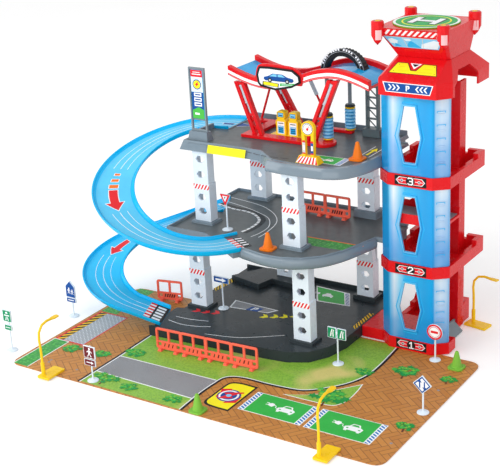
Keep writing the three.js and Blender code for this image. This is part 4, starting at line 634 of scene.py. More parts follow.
def patch(bm, plane, outline, low, high, index=0):
    """One printed patch, as a thin closed slab over its outline."""
    area = sum(a[0] * b[1] - b[0] * a[1] for a, b in zip(outline, outline[1:] + outline[:1]))
    points = outline if area > 0 else outline[::-1]
    rise = plane.point(0, 0, high) - plane.point(0, 0, low)
    raised(bm, [plane.point(u, v, low) for u, v in points], rise, index)


PRINT_SINK = 0.02
PRINT_TURNS = 12
PRINT_START, PRINT_SPAN = 0.3, 0.6


def print_sheet(name, plane, layers):
    """A printed label: each layer is a list of ink and outline, and lies on the one before."""
    inks = []
    bm = bmesh.new()
    thickness = sizes().ink / MM
    for level, layer in enumerate(layers):
        for order, (ink, outline) in enumerate(layer):
            label = "ink_" + ink if ink in INKS else ink
            if label not in inks:
                inks.append(label)
            share = PRINT_START + PRINT_SPAN * (order % PRINT_TURNS) / PRINT_TURNS
            points = [tuple(p) for p in outline]
            patch(bm, plane, points, -PRINT_SINK, thickness * (level + share), inks.index(label))
    finished(name, bm, inks, smooth=False)


# Outlines of prints


def inked(ink, *outlines):
    """Patches of one ink."""
    return [(ink, outline) for outline in outlines]


def placed(ink, place, *shapes):
    """Patches of one ink, drawn in shares of a four-sided place."""
    return inked(ink, *(within(place, shape) for shape in shapes))


def rect(x0, y0, x1, y1):
    return [(x0, y0), (x1, y0), (x1, y1), (x0, y1)]


def arc(x, y, radius, angles, flat=1.0):
    """Points round a centre at some angles in degrees."""
    return [(x + radius * math.cos(a), y + radius * math.sin(a) * flat) for a in map(math.radians, angles)]


def circle(x, y, radius, count=32):
    return [(x + radius * math.cos(math.tau * i / count), y + radius * math.sin(math.tau * i / count))
            for i in range(count)]


def curve(points, steps=6):
    """Smooth line through the points."""
    ends = [points[0]] + list(points) + [points[-1]]
    line = []
    for i in range(1, len(ends) - 2):
        p0, p1, p2, p3 = (Vector(p) for p in ends[i - 1:i + 3])
        for t in (s / steps for s in range(steps)):
            line.append(tuple(0.5 * ((2 * p1) + (p2 - p0) * t + (2 * p0 - 5 * p1 + 4 * p2 - p3) * t * t
                                     + (3 * p1 - p0 - 3 * p2 + p3) * t ** 3)))
    return line + [tuple(points[-1])]


def headings(points):
    """Direction of a line at each of its points."""
    last = len(points) - 1
    return [(Vector(points[min(i + 1, last)]) - Vector(points[max(i - 1, 0)])).normalized()
            for i in range(last + 1)]


def stroke(points, width, offset=0.0):
    """Outline of a line of that width along the points, moved to its left by offset."""
    left, right = [], []
    for point, along in zip(points, headings(points)):
        side = Vector((-along.y, along.x))
        middle = Vector(point) + side * offset
        left.append(tuple(middle + side * width / 2))
        right.append(tuple(middle - side * width / 2))
    return left + right[::-1]


def bars(points, width):
    """Straight strokes between the points, each a little longer at its ends."""
    made = []
    for a, b in zip(points, points[1:]):
        along = (Vector(b) - Vector(a)).normalized() * (width / 2)
        made.append(stroke([tuple(Vector(a) - along), tuple(Vector(b) + along)], width))
    return made


SHORTEST_STEP = 0.01


def dashed(points, width, length, gap):
    """Short strokes along a line, with gaps between them."""
    made, part, run, drawing = [], [points[0]], 0.0, True
    for a, b in zip(points, points[1:]):
        here, there = Vector(a), Vector(b)
        while (there - here).length > SHORTEST_STEP:
            left = (length if drawing else gap) - run
            step = min(left, (there - here).length)
            here = here + (there - here).normalized() * step
            run += step
            part.append(tuple(here))
            if step == left:
                if drawing:
                    made.append(stroke(part, width))
                part, run, drawing = [tuple(here)], 0.0, not drawing
    return made


def within(quad, outline):
    """An outline in shares of the two directions of a four-sided place, from its first corner."""
    a, b, c, d = (Vector(p) for p in quad)
    return [tuple((a * (1 - u) + b * u) * (1 - v) + (d * (1 - u) + c * u) * v) for u, v in outline]


def shrunk(outline, margin):
    """An outline drawn in towards its middle by about a margin."""
    middle = sum((Vector(p) for p in outline), Vector((0, 0))) / len(outline)
    reaches = [Vector(p) - middle for p in outline]
    return [tuple(middle + reach * (1 - margin / reach.length)) for reach in reaches]


def moved(outline, x, y, wide=1.0, tall=None):
    """An outline scaled from its own origin and then moved."""
    return [(x + u * wide, y + v * (wide if tall is None else tall)) for u, v in outline]


def stripes(quad, count, filled=0.5, slant=0.0):
    """Slanted stripes across a four-sided place, cut to its ends."""
    lean = slant / count
    ends = [((i - slant) / count, (i - slant + filled) / count) for i in range(count + 1)]
    cut = [clip_sides([(u0, 0), (u1, 0), (u1 + lean, 1), (u0 + lean, 1)]) for u0, u1 in ends]
    return [within(quad, outline) for outline in cut if len(outline) > 2]


def clip_sides(outline):
    """The part of an outline between 0 and 1 in its first direction."""
    for bound, keep in ((0.0, 1), (1.0, -1)):
        kept = []
        for a, b in zip(outline, outline[1:] + outline[:1]):
            in_a, in_b = (a[0] - bound) * keep >= 0, (b[0] - bound) * keep >= 0
            if in_a:
                kept.append(a)
            if in_a != in_b:
                t = (bound - a[0]) / (b[0] - a[0])
                kept.append((bound, a[1] + (b[1] - a[1]) * t))
        outline = kept
    return outline


def striped(ink, base_ink, quad, count, filled=0.5, slant=0.5):
    """Two layers: a ground and slanted stripes over it."""
    return [inked(base_ink, quad), inked(ink, *stripes(quad, count, filled, slant))]


def stacked(*groups):
    """Joins several prints layer by layer."""
    depth = max(len(g) for g in groups)
    return [[p for g in groups if i < len(g) for p in g[i]] for i in range(depth)]


# Symbols in shares of their place
CAR_SYMBOL = [
    [(0.46, 0.30), (0.94, 0.30), (0.96, 0.52), (0.88, 0.60), (0.52, 0.60), (0.44, 0.52)],
    [(0.54, 0.60), (0.86, 0.60), (0.80, 0.80), (0.60, 0.80)],
    rect(0.48, 0.22, 0.56, 0.30), rect(0.84, 0.22, 0.92, 0.30),
]
CAR_SYMBOL_OPENINGS = [
    [(0.58, 0.62), (0.82, 0.62), (0.77, 0.75), (0.63, 0.75)],
    rect(0.50, 0.40, 0.56, 0.47), rect(0.84, 0.40, 0.90, 0.47),
]
PLUG_SYMBOL = [
    [(0.14, 0.52), (0.26, 0.46), (0.30, 0.58), (0.28, 0.72), (0.18, 0.74), (0.11, 0.64)],
    [(0.06, 0.52), (0.13, 0.56), (0.12, 0.60), (0.05, 0.56)],
    rect(0.04, 0.68, 0.12, 0.72),
]
PLUG_CORD = [(0.29, 0.62), (0.36, 0.60), (0.38, 0.48), (0.42, 0.44), (0.47, 0.46)]
PLUG_CORD_WIDTH = 0.8
LETTER_P = [
    rect(0.30, 0.12, 0.42, 0.88),
    [(0.42, 0.76), (0.60, 0.76), (0.72, 0.68), (0.72, 0.52), (0.60, 0.42), (0.42, 0.42), (0.42, 0.52),
     (0.57, 0.52), (0.60, 0.56), (0.60, 0.64), (0.57, 0.67), (0.42, 0.67)],
    [(0.42, 0.76), (0.42, 0.88), (0.60, 0.88), (0.72, 0.80), (0.72, 0.66), (0.60, 0.66)],
]
CHEVRON = [(0.0, 0.0), (0.55, 0.0), (1.0, 0.5), (0.55, 1.0), (0.0, 1.0), (0.4, 0.5)]
BAY_CAR_PLACE = rect(0.2, 0.18, 0.85, 0.82)
BAY_STRIPES = (9, 0.55, 0.6)


def charging_bay(outer, green, stripe_ends):
    """Green charging bay with a white border, striped ends and a car on its lead."""
    place = within(green, BAY_CAR_PLACE)
    ends = [stripe for end in stripe_ends for stripe in stripes(end, *BAY_STRIPES)]
    return [
        inked("white", outer),
        inked("green", green) + inked("stripe", *ends),
        placed("white", place, *CAR_SYMBOL, *PLUG_SYMBOL)
        + inked("white", stroke(within(place, PLUG_CORD), PLUG_CORD_WIDTH)),
        placed("green", place, *CAR_SYMBOL_OPENINGS),
    ]


# Ramps: the path of each, and its marks in shares of its length
UPPER_RAMP = {
    "x": -230.0, "y": 63.0, "heading": 4.6, "lead_in": 20.0, "radius": 87.3, "turn": 233.2,
    "lead_out": 13.0, "high": ROAD_THREE, "low": ROAD_TWO, "ease": 1.0,
    "dashes": 0.45, "arrow": (0.525, 0.615), "kerb": 0.0, "floor": "ink_ramp",
}
LOWER_RAMP = {
    "x": -240.0, "y": 45.0, "heading": 23.0, "lead_in": 96.0, "radius": 49.8, "turn": 177.6,
    "lead_out": 38.0, "high": ROAD_TWO, "low": ROAD_ONE, "ease": 0.0,
    "dashes": 0.355, "arrow": (0.44, 0.535), "kerb": 22.0, "floor": "ink_ramp_low",
}
RAMP_STATIONS = 200
RAMP_SECTION = [
    (-22.0, -2.5), (22.0, -2.5), (24.0, 0.0), (25.0, 3.6), (23.0, 3.6), (22.0, 1.2), (20.0, 0.0),
    (-20.0, 0.0), (-22.0, 1.2), (-23.0, 3.6), (-25.0, 3.6), (-24.0, 0.0),
]
RAMP_HALF, RAMP_FLOOR_HALF = 20.0, 19.8
LANES = ((-9.0, 0.6), (0.0, 1.0), (9.0, 0.6))
LANE_BEFORE, LANE_AFTER = 0.02, 0.01
DASHES = 3
DASH_WIDTH, DASH_BORDER = 3.2, 0.8
ARROW_SHAFT, ARROW_HEAD, ARROW_NECK, ARROW_SLICES, ARROW_TIP = 5.0, 10.5, 0.62, 6, 0.05
BORDER, BORDER_LEAD, BORDER_HEAD = 0.9, 1.6, 1.7
FLOOR_LOW, FLOOR_HIGH, LANE_HIGH, MARK_LOW, MARK_HIGH = -0.1, 0.1, 0.16, 0.18, 0.26
KERB_LOW, KERB_HIGH, KERB_BAND, KERB_SQUARES = 0.14, 0.22, 0.68, 11
KERB_MARKS, KERB_MARK_PITCH, KERB_MARK_HALF, KERB_MARK_SHARES = 5, 7.2, 2.2, (0.84, 0.2)
RAMP_FLOOR, RAMP_WHITE, RAMP_ORANGE, RAMP_RED, RAMP_BLACK = range(5)


def ramp_length(ramp):
    return ramp["lead_in"] + ramp["radius"] * math.radians(ramp["turn"]) + ramp["lead_out"]


def ramp_station(ramp, share, across=0.0):
    """Place and heading on a ramp at a share of its length."""
    start = math.pi + math.radians(ramp["heading"])
    turn = ramp["radius"] * math.radians(ramp["turn"])
    run = ramp_length(ramp) * share
    centre_x = ramp["x"] + ramp["lead_in"] * math.cos(start) - ramp["radius"] * math.sin(start)
    centre_y = ramp["y"] + ramp["lead_in"] * math.sin(start) + ramp["radius"] * math.cos(start)
    heading = start + min(max(run - ramp["lead_in"], 0.0), turn) / ramp["radius"]
    if run < ramp["lead_in"]:
        x, y = ramp["x"] + run * math.cos(start), ramp["y"] + run * math.sin(start)
    else:
        beyond = max(run - ramp["lead_in"] - turn, 0.0)
        x = centre_x + ramp["radius"] * math.sin(heading) + beyond * math.cos(heading)
        y = centre_y - ramp["radius"] * math.cos(heading) + beyond * math.sin(heading)
    eased = ramp["ease"] * (3 * share ** 2 - 2 * share ** 3) + (1 - ramp["ease"]) * share
    z = ramp["high"] + (ramp["low"] - ramp["high"]) * eased
    return Vector((x + across * math.sin(heading), y - across * math.cos(heading), z)), heading


def swept(bm, section, stations, index=0):
    """Sweeps a closed section of across and up through the stations, with both ends closed."""
    def ring(station):
        point, heading = station
        return [at(point.x + u * math.sin(heading), point.y - u * math.cos(heading), point.z + v)
                for u, v in section]

    current = [bm.verts.new(p) for p in ring(stations[0])]
    edges = [bm.edges.new((a, b)) for a, b in zip(current, current[1:] + current[:1])]
    faces = [bm.faces.new(current)]
    for station in stations[1:]:
        grown = bmesh.ops.extrude_edge_only(bm, edges=edges)["geom"]
        faces += faces_of(grown)
        new = set(verts_of(grown))
        edges = [g for g in grown if isinstance(g, bmesh.types.BMEdge) and new.issuperset(g.verts)]
        current = [next(e.other_vert(vert) for e in vert.link_edges if e.other_vert(vert) in new)
                   for vert in current]
        for vert, place in zip(current, ring(station)):
            vert.co = place
    faces.append(bm.faces.new(current))
    for face in faces:
        face.material_index = index


def ramp_strip(bm, ramp, start, end, left, right, low, high, index):
    """Thin strip printed on a ramp between two shares of its length."""
    between = [i / RAMP_STATIONS for i in range(RAMP_STATIONS + 1) if start < i / RAMP_STATIONS < end]
    stations = [ramp_station(ramp, share) for share in [start, *between, end]]
    swept(bm, [(left, low), (right, low), (right, high), (left, high)], stations, index)


def arrow_head(bm, ramp, neck, tip, half, height, index):
    """Pointed end of an arrow on a ramp, in slices that follow its bend."""
    for i in range(ARROW_SLICES):
        a, b = i / ARROW_SLICES, (i + 1) / ARROW_SLICES
        s0, s1 = neck + (tip - neck) * a, neck + (tip - neck) * b
        w0, w1 = half * (1 - a), max(half * (1 - b), ARROW_TIP)
        places = [ramp_station(ramp, s, w)[0] for s, w in ((s0, -w0), (s0, w0), (s1, w1), (s1, -w1))]
        for wide in raised(bm, [at(*place) for place in places], (0, 0, height * MM), RAMP_FLOOR):
            wide.material_index = index


def build_ramp(name, ramp):
    """Channel of a ramp with its lane lines, dashes, arrow and striped end."""
    bm = bmesh.new()
    swept(bm, RAMP_SECTION, [ramp_station(ramp, i / RAMP_STATIONS) for i in range(RAMP_STATIONS + 1)])
    made = finished(name + "_channel", bm, ["ramp_plastic"], RAMP_BEVEL)
    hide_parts(name)
    bm = bmesh.new()
    dash_start, (arrow_start, arrow_end) = ramp["dashes"], ramp["arrow"]
    length = ramp_length(ramp)
    end = 1.0 - ramp["kerb"] / length
    ramp_strip(bm, ramp, 0.0, end, -RAMP_FLOOR_HALF, RAMP_FLOOR_HALF, FLOOR_LOW, FLOOR_HIGH, RAMP_FLOOR)
    for across, width in LANES:
        for low, high in ((0.0, dash_start - LANE_BEFORE), (arrow_end + LANE_AFTER, end)):
            ramp_strip(bm, ramp, low, high, across - width / 2, across + width / 2, 0.0, LANE_HIGH,
                       RAMP_WHITE)
    for i in range(DASHES):
        step = (arrow_start - dash_start) / DASHES
        a, half, longer = dash_start + i * step, DASH_WIDTH + i, 0.12 * i
        for low, high, grow, height, index in ((0.0, 0.45, DASH_BORDER, MARK_LOW, RAMP_WHITE),
                                               (0.06, 0.39, 0.0, MARK_HIGH, RAMP_ORANGE)):
            ramp_strip(bm, ramp, a + step * low, a + step * (high + longer), -half - grow, half + grow,
                       0.0, height, index)
    neck = arrow_start + (arrow_end - arrow_start) * ARROW_NECK
    for grow, height, index in ((BORDER, MARK_LOW, RAMP_WHITE), (0.0, MARK_HIGH, RAMP_RED)):
        lead, half = grow / length, ARROW_SHAFT + grow
        ramp_strip(bm, ramp, arrow_start - lead, neck, -half, half, 0.0, height, index)
        arrow_head(bm, ramp, neck - lead, arrow_end + lead * BORDER_LEAD, ARROW_HEAD + grow * BORDER_HEAD,
                   height, index)
    if ramp["kerb"]:
        ramp_kerb(bm, ramp, end, 1 - (1 - end) * KERB_BAND)
    inks = [ramp["floor"], "ink_white", "ink_orange", "ink_red", "ink_black"]
    finished(name + "_print", bm, inks, smooth=False)


def ramp_kerb(bm, ramp, start, middle):
    """Chequered band and marked end of a ramp."""
    ramp_strip(bm, ramp, start, middle, -RAMP_HALF, RAMP_HALF, 0.0, KERB_LOW, RAMP_WHITE)
    for i in range(0, KERB_SQUARES, 2):
        left = -RAMP_HALF + 2 * RAMP_HALF * i / KERB_SQUARES
        right = left + 2 * RAMP_HALF / KERB_SQUARES
        ramp_strip(bm, ramp, start, middle, left, right, 0.0, KERB_HIGH, RAMP_RED)
    ramp_strip(bm, ramp, middle, 1.0, -RAMP_HALF, RAMP_HALF, 0.0, KERB_LOW, RAMP_BLACK)
    low, high = (1 - (1 - middle) * share for share in KERB_MARK_SHARES)
    for i in range(KERB_MARKS):
        across = KERB_MARK_PITCH * (i - KERB_MARKS // 2)
        ramp_strip(bm, ramp, low, high, across - KERB_MARK_HALF, across + KERB_MARK_HALF, 0.0, KERB_HIGH,
                   RAMP_WHITE)


RAMP_BEVEL = 0.0006
BLOCK_BEVEL = 0.0008
WALL_BEVEL = 0.0005
COVER_BEVEL = 0.0002

# Base platform, and the room of the solid's own block: where it stands, and above which heights
BLOCK_OUTLINE = [
    (-246, 54), (-199.5, 44), (-194, 67), (-167, 63.5), (-148, 62), (-148, 95.6), (-214, 95.6), (-222, 93),
]
BLOCK_TOP, BLOCK_SINK = 20.0, 0.3
HIGH_BLOCK = ((-214, -144), (3, 63), 30.0, (41.0, 43.0))
ROAD_UNDER = ROAD_ONE - 1.2


def without_block(bm):
    """The base's copy with its high block taken off and the road closed over it."""
    (left, right), (front, back), wall_above, (hollow_low, hollow_high) = HIGH_BLOCK
    gone = []
    for vert in bm.verts:
        place = drawn(vert.co)
        if left < place.x < right and front < place.y < back and place.z > wall_above:
            if hollow_low < place.z < hollow_high:
                vert.co.z = at(0, 0, ROAD_UNDER).z
            else:
                gone.append(vert)
    bmesh.ops.delete(bm, geom=gone, context="VERTS")
    bmesh.ops.holes_fill(bm, edges=[edge for edge in bm.edges if edge.is_boundary], sides=0)


SPINDLE_ENDS = [("dark_grey_plastic", 246.0, 250.0), ("dark_grey_plastic", 218.0, 219.5)]
MADE_ELSEWHERE = {"ramp_upper", "ramp_lower", "roller_front", "roller_rear"}


class GARAGE_OT_shell(bpy.types.Operator):
    """Rounds the edges of the moulded parts and gives them their plastics"""

    bl_idname = "garage.shell"
    bl_label = "Moulded parts"

    def execute(self, context):
        special = {
            "deck_two": dict(bevel=sizes().soft_edge, top=ROAD_TWO, top_finish="road_plastic"),
            "deck_three": dict(top=ROAD_THREE, top_finish="road_plastic"),
            "base_deck": dict(before=without_block),
            "play_mat": dict(bevel=0.0, finish_name="paving"),
            "cover_1": dict(finish_name="cover_one", bevel=COVER_BEVEL),
            "cover_2": dict(finish_name="cover_two", bevel=COVER_BEVEL),
            "cover_3": dict(finish_name="cover_three", bevel=COVER_BEVEL),
            "canopy_sheet": dict(finish_name="sheet_plastic"),
            "canopy_badge": dict(finish_name="black_plastic"),
            "truss_tower": dict(finish_name="truss_grey"),
            "spindle_front": dict(accents=SPINDLE_ENDS),
            "spindle_rear": dict(accents=SPINDLE_ENDS),
            "traffic_cone_1": dict(finish_name="leaf_plastic"),
            "traffic_cone_2": dict(finish_name="leaf_plastic"),
        }
        for name in sorted(frame["nodes"]):
            if name not in MADE_ELSEWHERE:
                moulded(name, **special.get(name, {}))
        self.base_block()
        return {"FINISHED"}

    def base_block(self):
        """Low platform round the rear column, on the base's road."""
        bm = bmesh.new()
        rise = at(0, 0, BLOCK_TOP + BLOCK_SINK) - at(0, 0, ROAD_ONE)
        raised(bm, [at(x, y, ROAD_ONE - BLOCK_SINK) for x, y in BLOCK_OUTLINE], rise, 0)
        finished("base_block", bm, ["dark_grey_plastic"], BLOCK_BEVEL)


WALL_END = [(-24.6, 0.0), (-22.2, 0.0), (-22.8, 3.4), (-24.6, 3.4)]
WALL_END_RUNS = (-3.0, 8.0, 17.0)
RIM_BACK = -2.4
MIDDLE_RIM = [
    (-141, -72.6), (-134, -73.9), (-112, -78.9), (-90, -78.9), (-68, -71.1), (-50, -55.1), (-37.1, -30),
    (-28.9, -0.1), (-24.6, 17.5),
]
MIDDLE_RIM_ROUND = arc(0, 0, 1, [-96 + 19.2 * i for i in range(11)])
MIDDLE_RIM_SECTION = [(2.9 * u + 0.4, 112.8 + 6.0 * v) for u, v in MIDDLE_RIM_ROUND]
TOP_RIM = [
    (-119.7, -46.8), (-102, -49.6), (-85, -50), (-64, -49.4), (-46.3, -46.4), (-31.1, -37.4), (-21.9, -19.4),
    (-17.8, 0.6), (-16.9, 16.5),
]
TOP_RIM_SECTION = [
    (3.4, 204.2), (4.6, 205.0), (5.0, 206.4), (4.6, 208.2), (3.4, 211.4), (2.0, 214.8), (0.9, 216.1),
]
RIMS = (("deck_two_rim", MIDDLE_RIM, MIDDLE_RIM_SECTION, 106.8, 118.8),
        ("deck_three_rim", TOP_RIM, TOP_RIM_SECTION, 204.2, 216.1))


class GARAGE_OT_ramps(bpy.types.Operator):
    """Builds both ramp channels and prints their lanes and arrows"""

    bl_idname = "garage.ramps"
    bl_label = "Ramps"

    def execute(self, context):
        build_ramp("ramp_upper", UPPER_RAMP)
        build_ramp("ramp_lower", LOWER_RAMP)
        self.wall_end()
        self.deck_rims()
        return {"FINISHED"}

    def wall_end(self):
        """Inner wall of the upper ramp, run on over the middle deck."""
        point, heading = ramp_station(UPPER_RAMP, 1.0)
        ahead = Vector((math.cos(heading), math.sin(heading), 0))
        bm = bmesh.new()
        swept(bm, WALL_END, [(point + ahead * run, heading) for run in WALL_END_RUNS])
        finished("ramp_wall_end", bm, ["ramp_plastic"], WALL_BEVEL)

    def deck_rims(self):
        """Rounded fronts of the middle and top deck."""
        for name, outline, section, low, high in RIMS:
            line = curve(outline, 5)
            stations = [(Vector((*here, 0)), math.atan2(along.y, along.x))
                        for here, along in zip(line, headings(line))]
            bm = bmesh.new()
            swept(bm, [(RIM_BACK, low), *section, (RIM_BACK, high)], stations)
            finished(name, bm, ["rim_plastic"])


# Play mat
KERB_LEFT = [(-259, -228.3), (-258, -157), (-259, -100)]
KERB_FRONT = curve([
    (-122, -228.3), (-124, -190), (-123, -164), (-121, -150), (-113, -143), (-99, -140), (-72, -140),
    (-45, -138), (-30, -134), (-16, -123), (2, -101), (12, -76), (14, -46), (11, 4),
])
LAWN = [(-258, -100), (-258, -227)] + KERB_FRONT + [(-100, 5)]
ROAD = [(-257, -200), (-125.5, -203), (-125.5, -157.5), (-257, -159)]
STEEL = rect(-351, -156, -313, -75)
STEEL_BORDER = rect(-354, -158, -311.5, -73)
HEDGES = (rect(-354, -227.6, -333, -157), rect(-354, -72, -331, 5))
TIP = (curve([(-47, -151), (-31, -144), (-15, -134), (0, -114), (17, -93)])
       + curve([(19, -105), (20, -125), (18, -139), (10, -149), (-11, -150.5), (-29, -151)]))
TIP_LAWN = [(x * 0.94 + 0.2, y * 0.94 - 8.0) for x, y in TIP]
PANEL = (curve([(-111, -190), (-111, -200), (-106, -206), (-92, -207.5)], 3)
         + [(-78, -207.5), (-78, -151)]
         + curve([(-95, -150.5), (-104, -152), (-110, -157), (-111, -170)], 3))
PANEL_MIDDLE, PANEL_BORDER, PANEL_FILL = (-94.5, -179), (1.04, 1.03), (0.90, 0.93)
BAYS = ((-72, -199, 2, -158.5), (6, -199.5, 80, -158.5))
BAY_MARGIN, BAY_END_NEAR, BAY_END_FAR, BAY_GREEN = 0.8, 1, 6, 7
HAZARD = [(-351, -156), (-351, -75), (-342.5, -75), (-342.5, -156)]
HAZARD_GROUND = rect(-351, -156, -342.5, -75)
HAZARD_STRIPES = (9, 0.5, 0.8)
MAT_LINES = (
    ("black", KERB_LEFT, 2.6, 0.0), ("white", KERB_LEFT, 1.3, -2.0),
    ("black", KERB_FRONT, 2.8, 0.0), ("white", KERB_FRONT, 1.2, 2.1),
    ("white", [(-333, -228), (-333, -157.5)], 1.0, 0.0), ("white", [(-354, -228), (-354, -157.5)], 1.0, 0.0),
    ("white", [(-354, -157.7), (-332.6, -157.7)], 1.0, 0.0),
    ("white", [(-257, -159), (-126, -157.5)], 1.1, 0.0), ("white", [(-257, -200), (-126, -203)], 1.3, 0.0),
)
EMBLEM = (-95, -180)
EMBLEM_STROKE = ([(-106, -188), (-101, -172), (-96, -178), (-84, -168)], 2.6)
EMBLEM_WINGS = (
    [(-110, -171), (-100, -166), (-96, -172), (-106, -180)],
    [(-92, -196), (-80, -190), (-81, -176), (-90, -186)],
)
EMBLEM_RINGS, EMBLEM_HEART = (13.0, 11.0, 8.8), 3.0
EMBLEM_BOLT = [(-103, -191), (-88, -183), (-92, -180), (-84, -167), (-103, -177), (-98, -180)]
PLANT_SEED = 7
PLANT_Z = 0.3
PLANTS = (
    (44, -46, 19, 1), (4, -68, 13, 0), (91, -42, 11, 1), (95, -152, 12, 1), (-2, -132, 24, 1),
    (-201, -214, 12, 0), (-143, -213, 13, 0), (-236, -208, 17, 1), (-318, -170, 14, 0),
    (-277, -165, 13, 0), (-245, -145, 15, 0),
)
LITTER = ((-319, -208), (-278, -208), (92, -69), (97, -187), (-320, -203))
LITTER_RADIUS, LITTER_SIDES = 1.7, 7
LEAF_LAYERS = (
    ("leaf", 17, 0.82, 0.27, 0.0), ("leaf_light", 12, 0.72, 0.19, 0.08), ("lime", 7, 0.6, 0.12, 0.16),
)
LEAF_POINTS, LEAF_FLAT, CROWN_FLAT, LEAF_NOTCH = 6, 0.85, 0.7, 0.5


class GARAGE_OT_mat(bpy.types.Operator):
    """Prints the play mat: lawn, road, kerbs, bays, steel plate and plants"""

    bl_idname = "garage.mat"
    bl_label = "Play mat print"

    def execute(self, context):
        strokes = [(ink, stroke(line, width, offset)) for ink, line, width, offset in MAT_LINES]
        outer, white, inner = (circle(*EMBLEM, radius) for radius in EMBLEM_RINGS)
        ground_print = [
            inked("grass", LAWN) + inked("hedge", *HEDGES) + inked("red", STEEL_BORDER)
            + inked("black", self.panel(*PANEL_BORDER)) + inked("white", TIP),
            inked("road", ROAD) + inked("chequer_plate", STEEL) + inked("yellow", self.panel(*PANEL_FILL))
            + inked("grass", TIP_LAWN),
            strokes + inked("gold", HAZARD_GROUND),
            inked("black", *stripes(HAZARD, *HAZARD_STRIPES))
            + inked("red", stroke(*EMBLEM_STROKE), *EMBLEM_WINGS) + inked("blue", outer),
            inked("white", white) + inked("blue", inner),
            inked("red", EMBLEM_BOLT) + inked("sky", circle(*EMBLEM, EMBLEM_HEART, 16)),
        ]
        bays = [[[], []] + self.bay(*corners) for corners in BAYS]
        print_sheet("mat_print", ground(0.0), stacked(ground_print, *bays))
        random.seed(PLANT_SEED)
        print_sheet("mat_plants", ground(PLANT_Z), stacked(*(plant(*place) for place in PLANTS)))
        litter = [circle(x, y, LITTER_RADIUS, LITTER_SIDES) for x, y in LITTER]
        print_sheet("mat_litter", ground(0.0), [inked("road", *litter)])
        return {"FINISHED"}

    def panel(self, across, along):
        """The emblem's panel, scaled about its middle."""
        x0, y0 = PANEL_MIDDLE
        return [(x0 + (x - x0) * across, y0 + (y - y0) * along) for x, y in PANEL]

    def bay(self, x0, y0, x1, y1):
        low, high = y0 + BAY_MARGIN, y1 - BAY_MARGIN
        sides = ((x0 + BAY_END_NEAR, x0 + BAY_END_FAR), (x1 - BAY_END_FAR, x1 - BAY_END_NEAR))
        ends = [[(left, high), (left, low), (right, low), (right, high)] for left, right in sides]
        return charging_bay(rect(x0, y0, x1, y1), rect(x0 + BAY_GREEN, low, x1 - BAY_GREEN, high), ends)


def plant(x, y, reach, trunk):
    """A printed bush or tree: ragged leaf clumps over a short trunk, lighter towards one side."""
    layers = [inked("bark", stroke([(x + reach * 0.15, y - reach * 0.95), (x, y - reach * 0.3)], 2.0))
              if trunk else []]
    for ink, clumps, spread, big, shift in LEAF_LAYERS:
        layer = []
        for i in range(clumps):
            angle = math.tau * i / clumps + random.uniform(-0.3, 0.3)
            far = reach * spread * random.uniform(0.3, 1.0)
            cx = x - shift * reach + far * math.cos(angle)
            cy = y + shift * reach + far * math.sin(angle) * CROWN_FLAT
            clump, turn = big * reach * random.uniform(0.8, 1.15), random.uniform(0, math.pi)
            leaf = []
            for k in range(LEAF_POINTS * 2):
                a, radius = turn + math.pi * k / LEAF_POINTS, clump * (1.0 if k % 2 else LEAF_NOTCH)
                leaf.append((cx + radius * math.cos(a), cy + radius * math.sin(a) * LEAF_FLAT))
            layer.append((ink, leaf))
        layers.append(layer)
    return layers


# Round forms


def rod(bm, a, b, radius, sides=16):
    """Round bar between two points of the drawing frame."""
    start, end = at(*a), at(*b)
    made = bmesh.ops.create_cone(bm, cap_ends=True, segments=sides, radius1=radius * MM, radius2=radius * MM,
                                 depth=(end - start).length)["verts"]
    turn = (end - start).to_track_quat("Z", "Y").to_matrix().to_4x4()
    bmesh.ops.transform(bm, matrix=Matrix.Translation((start + end) / 2) @ turn, verts=made)


def turned(bm, x, y, profile, index, sides=48):
    """Spins a profile of radius and height round an upright line."""
    verts = [bm.verts.new(at(x + radius, y, z)) for radius, z in profile]
    edges = [bm.edges.new(pair) for pair in zip(verts, verts[1:])]
    before = set(bm.faces)
    bmesh.ops.spin(bm, geom=verts + edges, axis=(0, 0, 1), cent=at(x, y, 0), angle=math.tau, steps=sides,
                   use_merge=True)
    for face in bm.faces:
        if face not in before:
            face.material_index = index


LENS_THICKNESS = 0.0001


def curved_patch(bm, x, y, radius, start, end, low, high, steps=10):
    """Thin patch that hugs an upright cylinder between two angles and heights."""
    u, v = x + radius * math.cos(start), y + radius * math.sin(start)
    edge = [bm.verts.new(at(u, v, z)) for z in (low, high)]
    line = bm.edges.new(edge)
    before = set(bm.faces)
    bmesh.ops.spin(bm, geom=[*edge, line], axis=(0, 0, 1), cent=at(x, y, 0), angle=end - start, steps=steps)
    bmesh.ops.solidify(bm, geom=[f for f in bm.faces if f not in before], thickness=LENS_THICKNESS)


# Canopy's wave, in shares of its length and height
WAVE_SHARES = [
    (0, 0.62), (0.06, 0.42), (0.14, 0.2), (0.22, 0.06), (0.3, 0.02), (0.4, 0.12), (0.5, 0.38), (0.6, 0.75),
    (0.7, 0.96), (0.78, 1), (0.86, 0.9), (0.94, 0.7), (1, 0.5),
]
CANOPY_LEFT, CANOPY_LENGTH, CANOPY_FRONT = -213.5, 180.0, 24.0
WAVE_LOW, WAVE_HEIGHT = 283.0, 20.0
BEAM_HEIGHT = 10.5


def canopy_x(share):
    return CANOPY_LEFT + share * CANOPY_LENGTH


def wave_line(below):
    """Line of the canopy's wave, lowered by some millimetres."""
    return [(canopy_x(u), WAVE_LOW + v * WAVE_HEIGHT - below) for u, v in curve(WAVE_SHARES, 4)]


def wave_at(share):
    x, line = canopy_x(share), wave_line(0.0)
    (x0, z0), (x1, z1) = next((a, b) for a, b in zip(line, line[1:]) if a[0] <= x <= b[0])
    return z0 + (z1 - z0) * (x - x0) / (x1 - x0)


